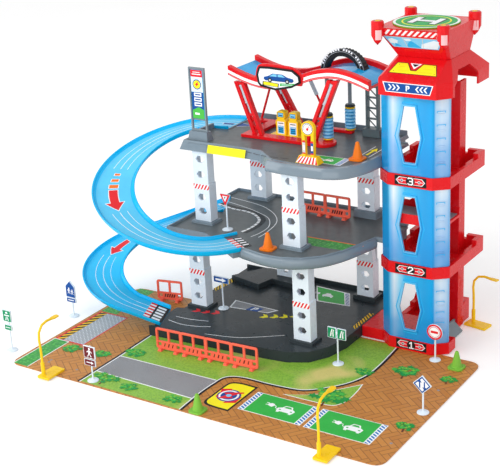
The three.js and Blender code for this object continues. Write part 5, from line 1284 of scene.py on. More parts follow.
# Prints of the base: parking place, rear bay, lanes, chevrons and aprons
PARKING = [(-208, 5), (-145, 2), (-153, -10), (-203, -16)]
PARKING_FLOOR = [(-205.5, 3.3), (-149, 0.6), (-154.5, -8.8), (-201.5, -13.8)]
PARKING_SIGN = [(-181.5, -13.5), (-166, -12), (-163.5, -1.5), (-179, -1.8)]
REAR_BAY = [(-142, 86), (-94, 83), (-76, 50), (-119, 46)]
REAR_BAY_GREEN = [(-139.5, 83.6), (-101, 81.3), (-84, 51.4), (-118, 48.4)]
REAR_BAY_END = [(-99.5, 81.2), (-82.6, 51.3), (-77.4, 51.0), (-94.6, 81.6)]
REAR_BAY_CAR = [(-133, 56), (-104, 58), (-110, 76), (-135, 74)]
BASE_LINES = (
    [(-247, -78), (-226, -81), (-205, -77), (-192, -71)], [(-245, -66), (-225, -65), (-203, -60)],
    [(-187, -90), (-151, -82), (-128, -69), (-104, -52)],
)
BASE_CHEVRONS = (
    ("red", 10.0, ((-237, -46), (-225, -44), (-213, -41))),
    ("yellow", 9.5, ((-156, -24), (-145, -19), (-135, -14), (-125, -7))),
)
APRONS = (
    [(-244.5, 17), (-240.5, 60), (-248, 64), (-251.5, 22)], [(-41, -2), (-41, 44), (-47, 44), (-47, 2)],
)
# Prints of the middle deck: kerb, lanes, start blocks and a hedge bed
DECK_KERB = curve([
    (-251, 43), (-225, 36), (-207, 35), (-191, 30), (-176, 17), (-171, 1), (-171, -16), (-173, -25),
])
DECK_KERB_WIDTH, DECK_KERB_SHIFT, KERB_STONE = 9.5, 3.0, (3.4, 6.5, 1.4)
DECK_LANES = (
    [(-250, 56), (-215, 47), (-193, 39), (-169, 26), (-154, 3), (-152, -19), (-155, -34)],
    [(-250, 70), (-212, 63), (-190, 55), (-167, 38), (-152, 16), (-146, -15), (-146, -32)],
)
START_BLOCKS = [(-176, -54), (-147.5, -72), (-143.0, -65.5), (-171.5, -47.5)]
START_STRIP = [(-171, -46.8), (-142.5, -64.8), (-138.0, -57.6), (-165, -39.8)]
HEDGE_BED = [(-96, -7), (-28, -6), (-39, -25), (-83, -28)]
HEDGE_LINE = [(-97, -6.2), (-27, -5.2)]
# Prints of the top deck: charging bay, arrows and skid marks
TOP_BAY = [(-85, -31), (-40, -31), (-40, -5.5), (-85, -7)]
TOP_BAY_GREEN = [(-83.6, -30), (-47.5, -30), (-47.5, -6.7), (-83.6, -8)]
TOP_BAY_END = [(-46.5, -6.6), (-46.5, -30), (-41, -30), (-41, -6.6)]
TOP_ARROW = [(-33, 14), (-30.5, 14), (-30.5, 30), (-27.5, 30), (-31.8, 40), (-36, 30), (-33, 30)]
TOP_ARROW_LINES = ([(-37, 8), (-37, 46)], [(-26, 8), (-26, 46)])
RAMP_MARK = [(-247, 60), (-228, 64), (-230, 68.5), (-207, 63), (-225, 52.5), (-226.5, 57), (-246, 55)]
SKIDS, SKID_DASH = [(-160, -28), (-130, -34), (-96, -30)], (1.3, 10.0, 2.0)
FASCIA_STRIP = rect(-214, 0.9, -163, 10.3)
COLUMN_BAND, COLUMN_MARGIN = (0.425, 0.49), 0.2


class GARAGE_OT_decks(bpy.types.Operator):
    """Prints roads, bays, kerbs and hazard strips on the three decks and their columns"""

    bl_idname = "garage.decks"
    bl_label = "Deck prints"

    def execute(self, context):
        self.base_print()
        self.middle_print()
        self.top_print()
        for name in sorted(frame["nodes"]):
            if name.startswith("column_"):
                low, high = drawn_box(name)
                bottom, top = (low.z + (high.z - low.z) * share for share in COLUMN_BAND)
                quad = rect(low.x + COLUMN_MARGIN, bottom, high.x - COLUMN_MARGIN, top)
                print_sheet(name + "_band", wall_at(low.y), striped("red", "white", quad, 5, 0.5, 0.8))
        return {"FINISHED"}

    def base_print(self):
        chevrons = [(ink, moved(CHEVRON, *place, big))
                    for ink, big, places in BASE_CHEVRONS for place in places]
        layers = [
            inked("white", PARKING, REAR_BAY, *(stroke(curve(line), 0.8) for line in BASE_LINES)),
            inked("road", PARKING_FLOOR) + inked("green", REAR_BAY_GREEN) + chevrons
            + inked("blue", *stripes(REAR_BAY_END, 8, 0.5, 0.6)),
            inked("blue", PARKING_SIGN) + placed("white", REAR_BAY_CAR, *CAR_SYMBOL, *PLUG_SYMBOL),
            placed("white", PARKING_SIGN, *LETTER_P),
        ]
        aprons = [striped("black", "gold", quad, 8, 0.42, 0.9) for quad in APRONS]
        print_sheet("base_print", ground(ROAD_ONE), stacked(layers, *aprons))

    def middle_print(self):
        lanes = [stroke(curve(lane), 1.0) for lane in DECK_LANES]
        print_sheet("middle_print", ground(ROAD_TWO), [
            inked("slate", stroke(DECK_KERB, DECK_KERB_WIDTH, DECK_KERB_SHIFT))
            + inked("white", *lanes, START_BLOCKS) + inked("black", START_STRIP) + inked("hedge", HEDGE_BED),
            inked("white", *dashed(DECK_KERB, *KERB_STONE)) + inked("red", *stripes(START_BLOCKS, 5))
            + inked("white", *stripes(shrunk(START_STRIP, 2.6), 4, 0.45))
            + inked("orange", stroke(HEDGE_LINE, 2.0)),
        ])

    def top_print(self):
        marks = [
            inked("white", *(stroke(line, 0.9) for line in TOP_ARROW_LINES))
            + inked("black", shrunk(TOP_ARROW, -1.0)) + inked("white", shrunk(RAMP_MARK, -0.9))
            + inked("slate", *dashed(curve(SKIDS), *SKID_DASH)),
            inked("yellow", TOP_ARROW) + inked("blue", RAMP_MARK),
        ]
        bay = charging_bay(TOP_BAY, TOP_BAY_GREEN, [TOP_BAY_END])
        print_sheet("top_print", ground(ROAD_THREE), stacked(bay, marks))
        fascia = Plane((0, -26.64, 205), (1, 0, 0), (0, 4, 11))
        print_sheet("fascia_strip", fascia, [inked("yellow", FASCIA_STRIP)])


# Floor numbers on the tower
FLOOR_NUMBERS = ((1, 27.5, 7.2), (2, 27.0, 96.6), (3, 27.0, 197.6))
DIGITS = {
    1: [[(-1.7, 2.0), (0.3, 3.5), (0.3, -3.5)], [(-1.7, -3.5), (2.3, -3.5)]],
    2: [[(-2.4, 2.2), (-1.5, 3.5), (1.6, 3.5), (2.5, 2.6), (2.5, 1.2), (-2.5, -2.6), (-2.5, -3.5),
         (2.7, -3.5)]],
    3: [[(-2.5, 2.9), (-1.7, 3.5), (1.6, 3.5), (2.5, 2.7), (2.5, 0.9), (1.7, 0.0), (-0.6, 0.0)],
        [(1.7, 0.0), (2.5, -0.9), (2.5, -2.7), (1.6, -3.5), (-1.7, -3.5), (-2.5, -2.9)]],
}
DIGIT_WIDTH, NUMBER_DISC = 1.4, 5.1
NUMBER_HALF, NUMBER_RISE = 18.4, 5.3
HEX_ARROW = [(-16.8, 0.0), (-13.4, 3.9), (-3.2, 3.9), (-3.2, -3.9), (-13.4, -3.9)]
ARROW_LINE, ARROW_LINE_RISE, ARROW_DOT = (5.4, 15), 0.25, 10
# Clear covers: their storeys, window outline, and the places of frames and rungs
COVER_STOREYS = ((1, 13.0, 90.0), (2, 103.0, 190.6), (3, 203.6, 289.0))
WINDOW_SHARES = [(0.36, 0.16), (0.62, 0.16), (0.73, 0.49), (0.61, 0.87), (0.36, 0.87), (0.24, 0.49)]
COVER_FRAMES = (("rim", 0.8, -1.0, "sky", 0.5), ("foot", 1.8, -4.3, "cyan", 1.1))
COVER_LEFT, COVER_RIGHT = 0.7, 51.3
COVER_BEND, COVER_FOLD = (52.0, 0.0, 0.0), (15, 12.5, 0)
RUNGS, RUNG_TOP, RUNG_ROOM, RUNG_SPACES = 5, 14, 20, 4.6
# Roof cap: panel, its rim, window, bolts and lines, and the plate below
CAP_RIM = [
    (-0.2, 10.7), (54.8, 10.7), (48.9, 26.6), (33.7, 26.6), (29.0, 16.9), (23.8, 16.9), (17.2, 26.6),
    (4.7, 26.6),
]
CAP_PANEL = [
    (1, 11.6), (53.5, 11.6), (48, 25.6), (34.5, 25.6), (29.6, 15.8), (23.2, 15.8), (16.5, 25.6), (5.5, 25.6),
]
CAP_TRIANGLE = [(19.5, 26.2), (32.5, 26.2), (26.2, 18.4)]
CAP_BOLTS = ((8, 23.5), (5, 14), (47, 23.5), (50.5, 14))
CAP_LINES = (
    rect(9, 20.4, 15.5, 20.8), rect(36, 19.4, 46, 19.8), rect(10, 15.2, 22, 15.6), rect(31, 14.6, 48, 15.0),
)
CAP_PLATE = [(-2, 303.6), (55.0, 303.6), (51.4, 293.2), (1.6, 293.2)]
CAP_PLATE_BLUE = [(-0.7, 302.8), (53.7, 302.8), (50.7, 294.0), (2.3, 294.0)]
CAP_LETTER = rect(21.5, 294.6, 31.5, 302.2)
PLATE_MIDDLE, PLATE_LEVEL, PLATE_FIRST, PLATE_STEP = 26.5, 298.4, 8.6, 4.6
PLATE_CHEVRON = [(0, 0), (2.6, 3.0), (4.4, 3.0), (1.8, 0), (4.4, -3.0), (2.6, -3.0)]
# Control room: hazard strip, window with clouds and peaks, and its corner posts
HEAD_STRIP = [(-4.5, 31.0), (53.5, 31.0), (56.5, 38.4), (-3.0, 38.4)]
GLASS, GLASS_DEPTH = [(-0.2, 12.5), (50.2, 12.5), (58.3, 28.3), (-8.3, 28.3)], 0.98
CLOUDS = (
    [(0.02, 0.35), (0.14, 0.3), (0.2, 0.62), (0.12, 0.8), (0.03, 0.7)],
    [(0.62, 0.06), (0.97, 0.06), (0.97, 0.74), (0.86, 0.84), (0.74, 0.6), (0.64, 0.42)],
    [(0.36, 0.62), (0.46, 0.7), (0.44, 0.86), (0.3, 0.84)],
)
PEAKS = (
    [(0.3, 0.08), (0.62, 0.08), (0.5, 0.52), (0.45, 0.66), (0.39, 0.5)],
    [(0.06, 0.1), (0.2, 0.1), (0.12, 0.4)],
)
GLASS_BARS = (rect(0.319, 0.0, 0.331, 1.0), rect(0.659, 0.0, 0.671, 1.0), rect(0.0, 0.93, 1.0, 1.0))
POST_REACH, LENS_RADIUS, LENS_ANGLES, LENS_HEIGHTS = 6.8, 6.83, (-84, -30), (345.0, 355.0)
POST_TOP, POST_DARK, POST_GOLD = 363.8, 3.9, 3.1
# Helipad: rings from the outside in, and the bars of its letter
HELIPAD, HELIPAD_TOP = (25.0, 43.0), 358.4
HELIPAD_RINGS = (("white", 34.4, 72), ("green_pad", 31.8, 72), ("yellow", 25.8, 64), ("green_pad", 24.2, 64))
HELIPAD_LETTER = ((9.25, 28.75, 15.85, 57.25), (34.15, 28.75, 40.75, 57.25), (15.05, 39.45, 34.95, 46.05))


class GARAGE_OT_tower(bpy.types.Operator):
    """Prints the lift tower: floor numbers, cover lines, sign plate, window, hazard strip and helipad"""

    bl_idname = "garage.tower"
    bl_label = "Lift tower prints"

    def execute(self, context):
        for place in FLOOR_NUMBERS:
            self.floor_number(*place)
        for storey in COVER_STOREYS:
            self.cover_lines(*storey)
        self.cap()
        self.head()
        self.helipad()
        return {"FINISHED"}

    def floor_number(self, number, middle, level):
        plate = rect(middle - NUMBER_HALF, level - NUMBER_RISE, middle + NUMBER_HALF, level + NUMBER_RISE)
        layers = [inked("black", plate), [], [], [], []]
        for side in (1, -1):
            arrow = [(middle + u * side, level + v) for u, v in HEX_ARROW]
            left, right = sorted(middle + side * u for u in ARROW_LINE)
            dot = middle + side * ARROW_DOT
            layers[1] += inked("white", arrow)
            layers[2] += inked("red", shrunk(arrow, 0.9))
            layers[3] += inked("white", rect(left, level - ARROW_LINE_RISE, right, level + ARROW_LINE_RISE))
            layers[3] += inked("silver", circle(dot, level, 1.7, 16))
            layers[4] += inked("slate", circle(dot, level, 0.8, 12))
        layers[4] += inked("black", circle(middle, level, NUMBER_DISC, 24))
        digit = [moved(bar, middle, level) for line in DIGITS[number] for bar in bars(line, DIGIT_WIDTH)]
        print_sheet("floor_number_%d" % number, wall_at(0.0), layers + [inked("white", *digit)])

    def cover_lines(self, number, low, high):
        window = within(rect(COVER_LEFT, low, COVER_RIGHT, high), WINDOW_SHARES)
        for label, y, margin, ink, wide in COVER_FRAMES:
            line = shrunk(window, margin)
            strokes = bars(line + line[:1], wide)
            print_sheet("cover_%d_%s" % (number, label), wall_at(y), [inked(ink, *strokes)])
        rungs = []
        for i in range(RUNGS):
            z = high - RUNG_TOP - i * (high - low - RUNG_ROOM) / RUNG_SPACES
            rungs += [rect(4.5, z, 14.0, z + 0.7), rect(4.5, z - 1.6, 5.2, z), rect(13.3, z - 1.6, 14.0, z)]
        fold = Plane(COVER_BEND, COVER_FOLD, (0, 0, 1))
        print_sheet("cover_%d_rungs" % number, fold, [inked("cyan", *rungs)])

    def cap(self):
        print_sheet("cap_print", Plane((0, -5, 305), (1, 0, 0), (0, 29.2, 19)), [
            inked("brown", CAP_RIM), inked("yellow", CAP_PANEL) + inked("white", CAP_TRIANGLE),
            inked("slate", *(circle(x, y, 0.45, 10) for x, y in CAP_BOLTS)) + inked("gold", *CAP_LINES)
            + inked("black", shrunk(CAP_TRIANGLE, 2.9))])
        tips = [(side, PLATE_MIDDLE + side * (PLATE_FIRST + i * PLATE_STEP))
                for i in range(3) for side in (-1, 1)]
        chevrons = [[(tip + side * u, PLATE_LEVEL + v) for u, v in PLATE_CHEVRON] for side, tip in tips]
        print_sheet("cap_plate", wall_at(-5.0), [
            inked("white", CAP_PLATE), inked("blue", CAP_PLATE_BLUE),
            placed("white", CAP_LETTER, *LETTER_P) + inked("white", *chevrons)])

    def head(self):
        slope = Plane((0, 24.5, 324), (1, 0, 0), (0, -22.5, 33))
        print_sheet("head_strip", slope, striped("red", "white", HEAD_STRIP, 9, 0.5, 0.75))
        pocket = Plane(slope.origin - slope.out * GLASS_DEPTH, slope.right, slope.up)
        print_sheet("head_window", pocket, [
            inked("sky", GLASS), placed("ice", GLASS, *CLOUDS) + placed("cyan", GLASS, *PEAKS),
            placed("silver", GLASS, *GLASS_BARS)])
        low, high = drawn_box("control_room")
        posts = [(x, y) for x in (low.x + POST_REACH, high.x - POST_REACH)
                 for y in (low.y + POST_REACH, high.y - POST_REACH)]
        bm = bmesh.new()
        for x, y in posts:
            curved_patch(bm, x, y, LENS_RADIUS, *map(math.radians, LENS_ANGLES), *LENS_HEIGHTS)
        finished("post_lenses", bm, ["pale_lens"])
        print_sheet("post_tops", ground(POST_TOP), [
            inked(ink, *(circle(x, y, radius, 20) for x, y in posts))
            for ink, radius in (("slate", POST_DARK), ("gold", POST_GOLD))])

    def helipad(self):
        rings = [inked(ink, circle(*HELIPAD, radius, count)) for ink, radius, count in HELIPAD_RINGS]
        shadow = [rect(x0 - 1.1, y0 - 1.8, x1 + 2.0, y1 + 1.1) for x0, y0, x1, y1 in HELIPAD_LETTER]
        letter = [rect(*bar) for bar in HELIPAD_LETTER]
        layers = rings + [inked("black", *shadow), inked("white", *letter)]
        print_sheet("helipad_print", ground(HELIPAD_TOP), layers)


# Sign panel of the canopy: its place, outlines in shares of it, and the car on it
BADGE = rect(canopy_x(0.222), 273.3, canopy_x(0.222) + 57.0, 299.3)
HOOD_ARCH = [
    (-0.05, 0.45), (-0.01, 0.88), (0.08, 1.07), (0.3, 1.11), (0.6, 1.09), (0.82, 1.04), (0.97, 0.86),
    (1.06, 0.62),
]
HOOD_DEPTH, HOOD_BACK, HOOD_RISE, HOOD_INSET, HOOD_BEVEL = 3.0, 0.4, 7, 6, 0.0006
BADGE_OUTLINE = [
    (0.02, 0.62), (0.045, 0.27), (0.1, 0.14), (0.42, 0.03), (0.8, 0.2), (0.975, 0.43), (0.965, 0.7),
    (0.82, 0.93), (0.3, 0.975), (0.07, 0.955), (0.03, 0.85),
]
BADGE_CAR = [
    (0.12, 0.42), (0.16, 0.36), (0.84, 0.36), (0.88, 0.46), (0.86, 0.56), (0.72, 0.62), (0.60, 0.76),
    (0.34, 0.76), (0.22, 0.60), (0.12, 0.54),
]
BADGE_WINDOWS = (
    [(0.26, 0.60), (0.36, 0.73), (0.45, 0.73), (0.45, 0.60)],
    [(0.48, 0.60), (0.48, 0.73), (0.58, 0.73), (0.67, 0.60)],
)
BADGE_WHEELS = [(0.27, 0.38), (0.72, 0.38)]
CAR_SHADOW, CAR_BODY = (0.06, 0.11, 0.9, 0.8), (0.07, 0.13, 0.88, 0.78)
BADGE_PLATES = (
    ("black", [(0.13, 0.19), (0.5, 0.14), (0.51, 0.31), (0.14, 0.36)]),
    ("yellow", [(0.155, 0.21), (0.48, 0.165), (0.487, 0.29), (0.163, 0.335)]),
    ("green", [(0.53, 0.21), (0.86, 0.26), (0.87, 0.37), (0.54, 0.33)]),
    ("ice", [(0.57, 0.26), (0.82, 0.295), (0.82, 0.32), (0.57, 0.285)]),
)
BADGE_Y = 22.1
# Half tyre: its middle, the lines and the tread marks
TYRE, TYRE_FRONT, TYRE_FLAT = (-84.5, 291.2), 59.0, 0.98
TYRE_LINES, TYRE_LINE_WIDTH = (27.2, 23.4), 0.35
TREADS, TREAD_RADIUS, TREAD_FROM, TREAD_STEP, TREAD_GAP = 19, 25.3, 160, 7.6, 5
# Pistons: foot and head as shares of the canopy's length, depth, and the shares and radii of their rods
PISTON_FOOT, PISTON_DROP = 217.8, 2.3
PISTONS = ((0.2, 0.075, 27.5), (0.585, 0.755, 27.5), (0.3, 0.12, 84.5))
PISTON_RODS = (
    (0.40, 0.62, 1.5), (0.60, 0.94, 2.35), (0.60, 0.625, 2.7), (0.70, 0.715, 2.6), (0.915, 0.94, 2.7),
)
STAYS, STAY_ROD = ((0.02, 0.13, 84.5), (0.55, 0.4, 84.5)), ((0.67, 0.95, 2.3),)
# Wash rollers: steps of one puff, its swell, and the inner radius of the end rings
PUFF_STEPS, PUFF_SWELL, PUFF_POWER, PUFF_CORE, RING_CORE = 7, 0.85, 0.6, 1.15, 3.0


class GARAGE_OT_canopy(bpy.types.Operator):
    """Finishes the canopy: stripe, sign panel, tyre marks, pistons and wash rollers"""

    bl_idname = "garage.canopy"
    bl_label = "Canopy and rollers"

    def execute(self, context):
        print_sheet("canopy_stripe", wall_at(CANOPY_FRONT), [
            inked("white", wave_line(8.0) + wave_line(4.4)[::-1])
            + inked("rose", wave_line(9.6) + wave_line(9.15)[::-1])])
        self.badge()
        self.badge_hood()
        self.tyre()
        bm = bmesh.new()
        for places, rods in ((PISTONS, PISTON_RODS), (STAYS, STAY_ROD)):
            for foot, head, y in places:
                a = Vector((canopy_x(foot), y, PISTON_FOOT))
                b = Vector((canopy_x(head), y, wave_at(head) - BEAM_HEIGHT - PISTON_DROP))
                for start, end, radius in rods:
                    rod(bm, a.lerp(b, start), a.lerp(b, end), radius)
        finished("pistons", bm, ["silver_plastic"])
        for name in ("roller_front", "roller_rear"):
            self.roller(name)
        return {"FINISHED"}

    def badge_hood(self):
        """Red hood of the front beam, arched over the sign panel."""
        (left, low), (right, _) = BADGE[:2]
        foot = [(right, low + HOOD_RISE), (left + HOOD_INSET, low + HOOD_RISE)]
        outline = within(BADGE, curve(HOOD_ARCH, 4)) + foot
        bm = bmesh.new()
        patch(bm, wall_at(CANOPY_FRONT - HOOD_BACK), outline, -HOOD_DEPTH, 0.0)
        finished("badge_hood", bm, ["red_plastic"], HOOD_BEVEL)

    def badge(self):
        black, yellow, green, ice = (placed(ink, BADGE, shape) for ink, shape in BADGE_PLATES)
        wheels = within(BADGE, moved(BADGE_WHEELS, *CAR_BODY))
        windows = [moved(window, *CAR_BODY) for window in BADGE_WINDOWS]
        print_sheet("badge_print", wall_at(BADGE_Y), [
            inked("white", shrunk(within(BADGE, curve(BADGE_OUTLINE, 4)), 1.2)),
            placed("slate", BADGE, moved(BADGE_CAR, *CAR_SHADOW)) + black,
            placed("blue", BADGE, moved(BADGE_CAR, *CAR_BODY)) + yellow + green,
            placed("sky", BADGE, *windows)
            + inked("black", *(circle(*wheel, 2.6, 20) for wheel in wheels)) + ice,
            inked("silver", *(circle(*wheel, 1.3, 16) for wheel in wheels)),
        ])

    def tyre(self):
        """Two lines and a row of tread marks round the half tyre."""
        angles = [172 - 4 * i for i in range(42)]
        marks = inked("silver", *(stroke(arc(*TYRE, radius, angles, TYRE_FLAT), TYRE_LINE_WIDTH)
                                  for radius in TYRE_LINES))
        for i in range(TREADS):
            a = math.radians(TREAD_FROM - i * TREAD_STEP)
            out, along = Vector((math.cos(a), math.sin(a))), Vector((-math.sin(a), math.cos(a)))
            place = Vector(TYRE) + out * TREAD_RADIUS
            if i % TREAD_GAP != TREAD_GAP - 1:
                corners = ((-1.1, -1.0), (-1.1, 1.0), (1.1, 1.0 - 0.5 * (i % 2)), (1.1, -1.0))
                marks += inked("white", [tuple(place + out * u + along * v) for u, v in corners])
        print_sheet("tyre_marks", wall_at(TYRE_FRONT), [marks])

    def roller(self, name):
        """Fleece of one roller, in puffs, with a yellow ring at each end."""
        low, high = drawn_box(name)
        x, y, reach = (low.x + high.x) / 2, (low.y + high.y) / 2, (high.x - low.x) / 2
        top = ROLLER_PUFFS_LOW + ROLLER_PUFFS * ROLLER_PUFF
        profile = [(reach - 1.2, ROLLER_PUFFS_LOW - 0.2)]
        for puff in range(ROLLER_PUFFS):
            for share in (i / PUFF_STEPS for i in range(PUFF_STEPS)):
                swell = math.sin(math.pi * share) ** PUFF_POWER
                z = ROLLER_PUFFS_LOW + (puff + share) * ROLLER_PUFF
                profile.append((reach - PUFF_CORE + PUFF_SWELL * swell, z))
        bm = bmesh.new()
        turned(bm, x, y, profile + [(reach - 1.2, top)], 0)
        for base in (ROLLER_LOW, top):
            end = base + ROLLER_RING
            turned(bm, x, y, [
                (RING_CORE, base + 0.1), (reach - 1.2, base + 0.1), (reach - 0.7, base + 0.5),
                (reach - 0.6, end - 0.6), (reach - 1.1, end - 0.1), (RING_CORE, end - 0.1)], 1)
        bmesh.ops.remove_doubles(bm, verts=bm.verts, dist=MERGE_DISTANCE / 2)
        made = finished(name + "_fleece", bm, ["fleece", "yellow_plastic"], body=body_of(name))
        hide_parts(name)


# Fuel pumps, gauge stand and pylon
PUMPS = (rect(-159.0, 217.3, -146.0, 245.3), rect(-143.0, 217.3, -130.0, 245.3))
PUMP_LINES = tuple(rect(0.27, u, 0.73, u + 0.035) for u in (0.13, 0.21, 0.29))
GAUGE, GAUGE_ARC = (-74.0, 253.3), [200 - 11 * i for i in range(21)]
GAUGE_STRIPES = [(-87.2, 0.7), (-60.8, 0.7), (-64.0, 7.9), (-84.0, 7.9)]
PYLON = rect(-241.9, 239.6, -226.1, 296.0)
PYLON_LAWN = [(0, 0), (1, 0), (1, 0.19), (0.55, 0.24), (0, 0.17)]
PYLON_FIELDS = (0.26, 0.36, 0.46)
PYLON_DISC = (-234, 279.5)
PYLON_BOLT = [
    (-236.4, 276.0), (-231.0, 280.4), (-233.2, 280.6), (-231.6, 283.4), (-236.9, 279.0), (-234.7, 278.8),
]
# Road signs, each across from the middle of its board and up from the mat
STOP_RINGS = (("red", 8.9), ("ice", 6.9), ("red", 6.1), ("white", 5.6))
STOP_HEIGHT, STOP_BAR = 34.4, rect(-4.3, 33.0, 4.3, 35.8)
YIELD_LAYERS = [
    inked("red", [(-6.9, 160.5), (0, 146.8), (6.9, 160.5)]),
    inked("white", [(-3.5, 158.6), (0, 151.6), (3.5, 158.6)]),
    inked("slate", [(-1.0, 157.6), (0, 154.2), (1.0, 157.6)]),
]
DIAMOND = [(0, 22.6), (9.8, 32.3), (0, 42.0), (-9.8, 32.3)]
DIAMOND_ARROWS = ((-2.6, 34.8, 38.4), (2.6, 29.8, 26.2))
TWIN_SIDES = ((-11.2, -0.7), (0.7, 11.2))
TWIN_MARKS = (
    [(0.3, 0.15), (0.44, 0.15), (0.5, 0.5), (0.62, 0.85), (0.5, 0.85), (0.38, 0.5)],
    [(0.6, 0.15), (0.74, 0.15), (0.7, 0.5), (0.78, 0.8), (0.68, 0.8), (0.6, 0.5)],
)
BROWN = rect(-7.4, 28.1, 7.4, 41.6)
WALKER = [
    [(-0.9, 33.0), (1.1, 33.0), (1.5, 37.4), (-0.7, 37.6)], circle(0.6, 39.1, 1.3, 14),
    [(-0.9, 33.2), (0.1, 33.2), (-1.6, 29.6), (-2.8, 29.6)],
    [(0.1, 33.2), (1.1, 33.2), (3.2, 30.0), (2.0, 29.6)],
    [(1.0, 36.6), (1.5, 37.2), (4.0, 34.8), (3.4, 34.2)],
    [(-0.7, 37.2), (-0.4, 36.4), (-2.9, 34.4), (-3.4, 35.2)],
]
BROWN_LOW, BROWN_LOW_THICK = rect(-7.6, 19.0, 7.6, 26.4), 1.2
BROWN_LOW_ARROW = [
    (-4.6, 22.2), (2.0, 22.2), (2.0, 20.8), (5.0, 22.7), (2.0, 24.6), (2.0, 23.2), (-4.6, 23.2),
]
HOUSE = [(-7.1, 24.2), (7.1, 24.2), (7.1, 38.9), (0, 46.0), (-7.1, 38.9)]
HOUSE_PLATES = (HOUSE, rect(-7.1, 17.9, 7.1, 23.4))
HOUSE_BAR = rect(-4.6, 20.2, 4.6, 21.2)
ROUTE_PLATES = (rect(-6.2, 35.6, 6.2, 50.1), rect(-5.4, 25.1, 5.4, 31.7))
ROUTE_MARKS = (
    [(-2.6, 37.4), (-1.2, 37.4), (-0.4, 42.0), (-1.0, 42.2)],
    [(1.2, 37.4), (2.6, 37.4), (1.0, 42.2), (0.4, 42.0)],
    rect(-4.0, 43.0, 4.0, 44.2), [(-2.2, 46.0), (2.2, 46.0), (0, 48.8)], rect(-3.4, 28.0, 3.4, 28.9),
)
ARROW_BOARD = rect(-10.0, 47.0, 10.0, 53.8)
BOARD_ARROW = [(-7.5, 51.6), (1.5, 51.6), (1.5, 53.2), (7.5, 50.4), (1.5, 47.6), (1.5, 49.2), (-7.5, 49.2)]
SIGN_FACE, LOW_FACE = 4.2, 4.0
# Barriers: place of the row, its turn in degrees and its number of panels
BARRIER_PITCH, BARRIER_START = 32.7, 0.65
BARRIERS = {
    "barrier_row_front": (-229.9, -125.2, 0, 3, 4), "barrier_rear": (-312.3, -13.1, 0, 12, 1),
    "barrier_row_deck": (-145.9, 60.6, ROAD_TWO, 0, 2),
}
BARRIER_SLOT, SLOT_PITCH = [(-1.5, 4.9), (0.2, 4.9), (1.6, 9.4), (-0.1, 9.4)], 3.0


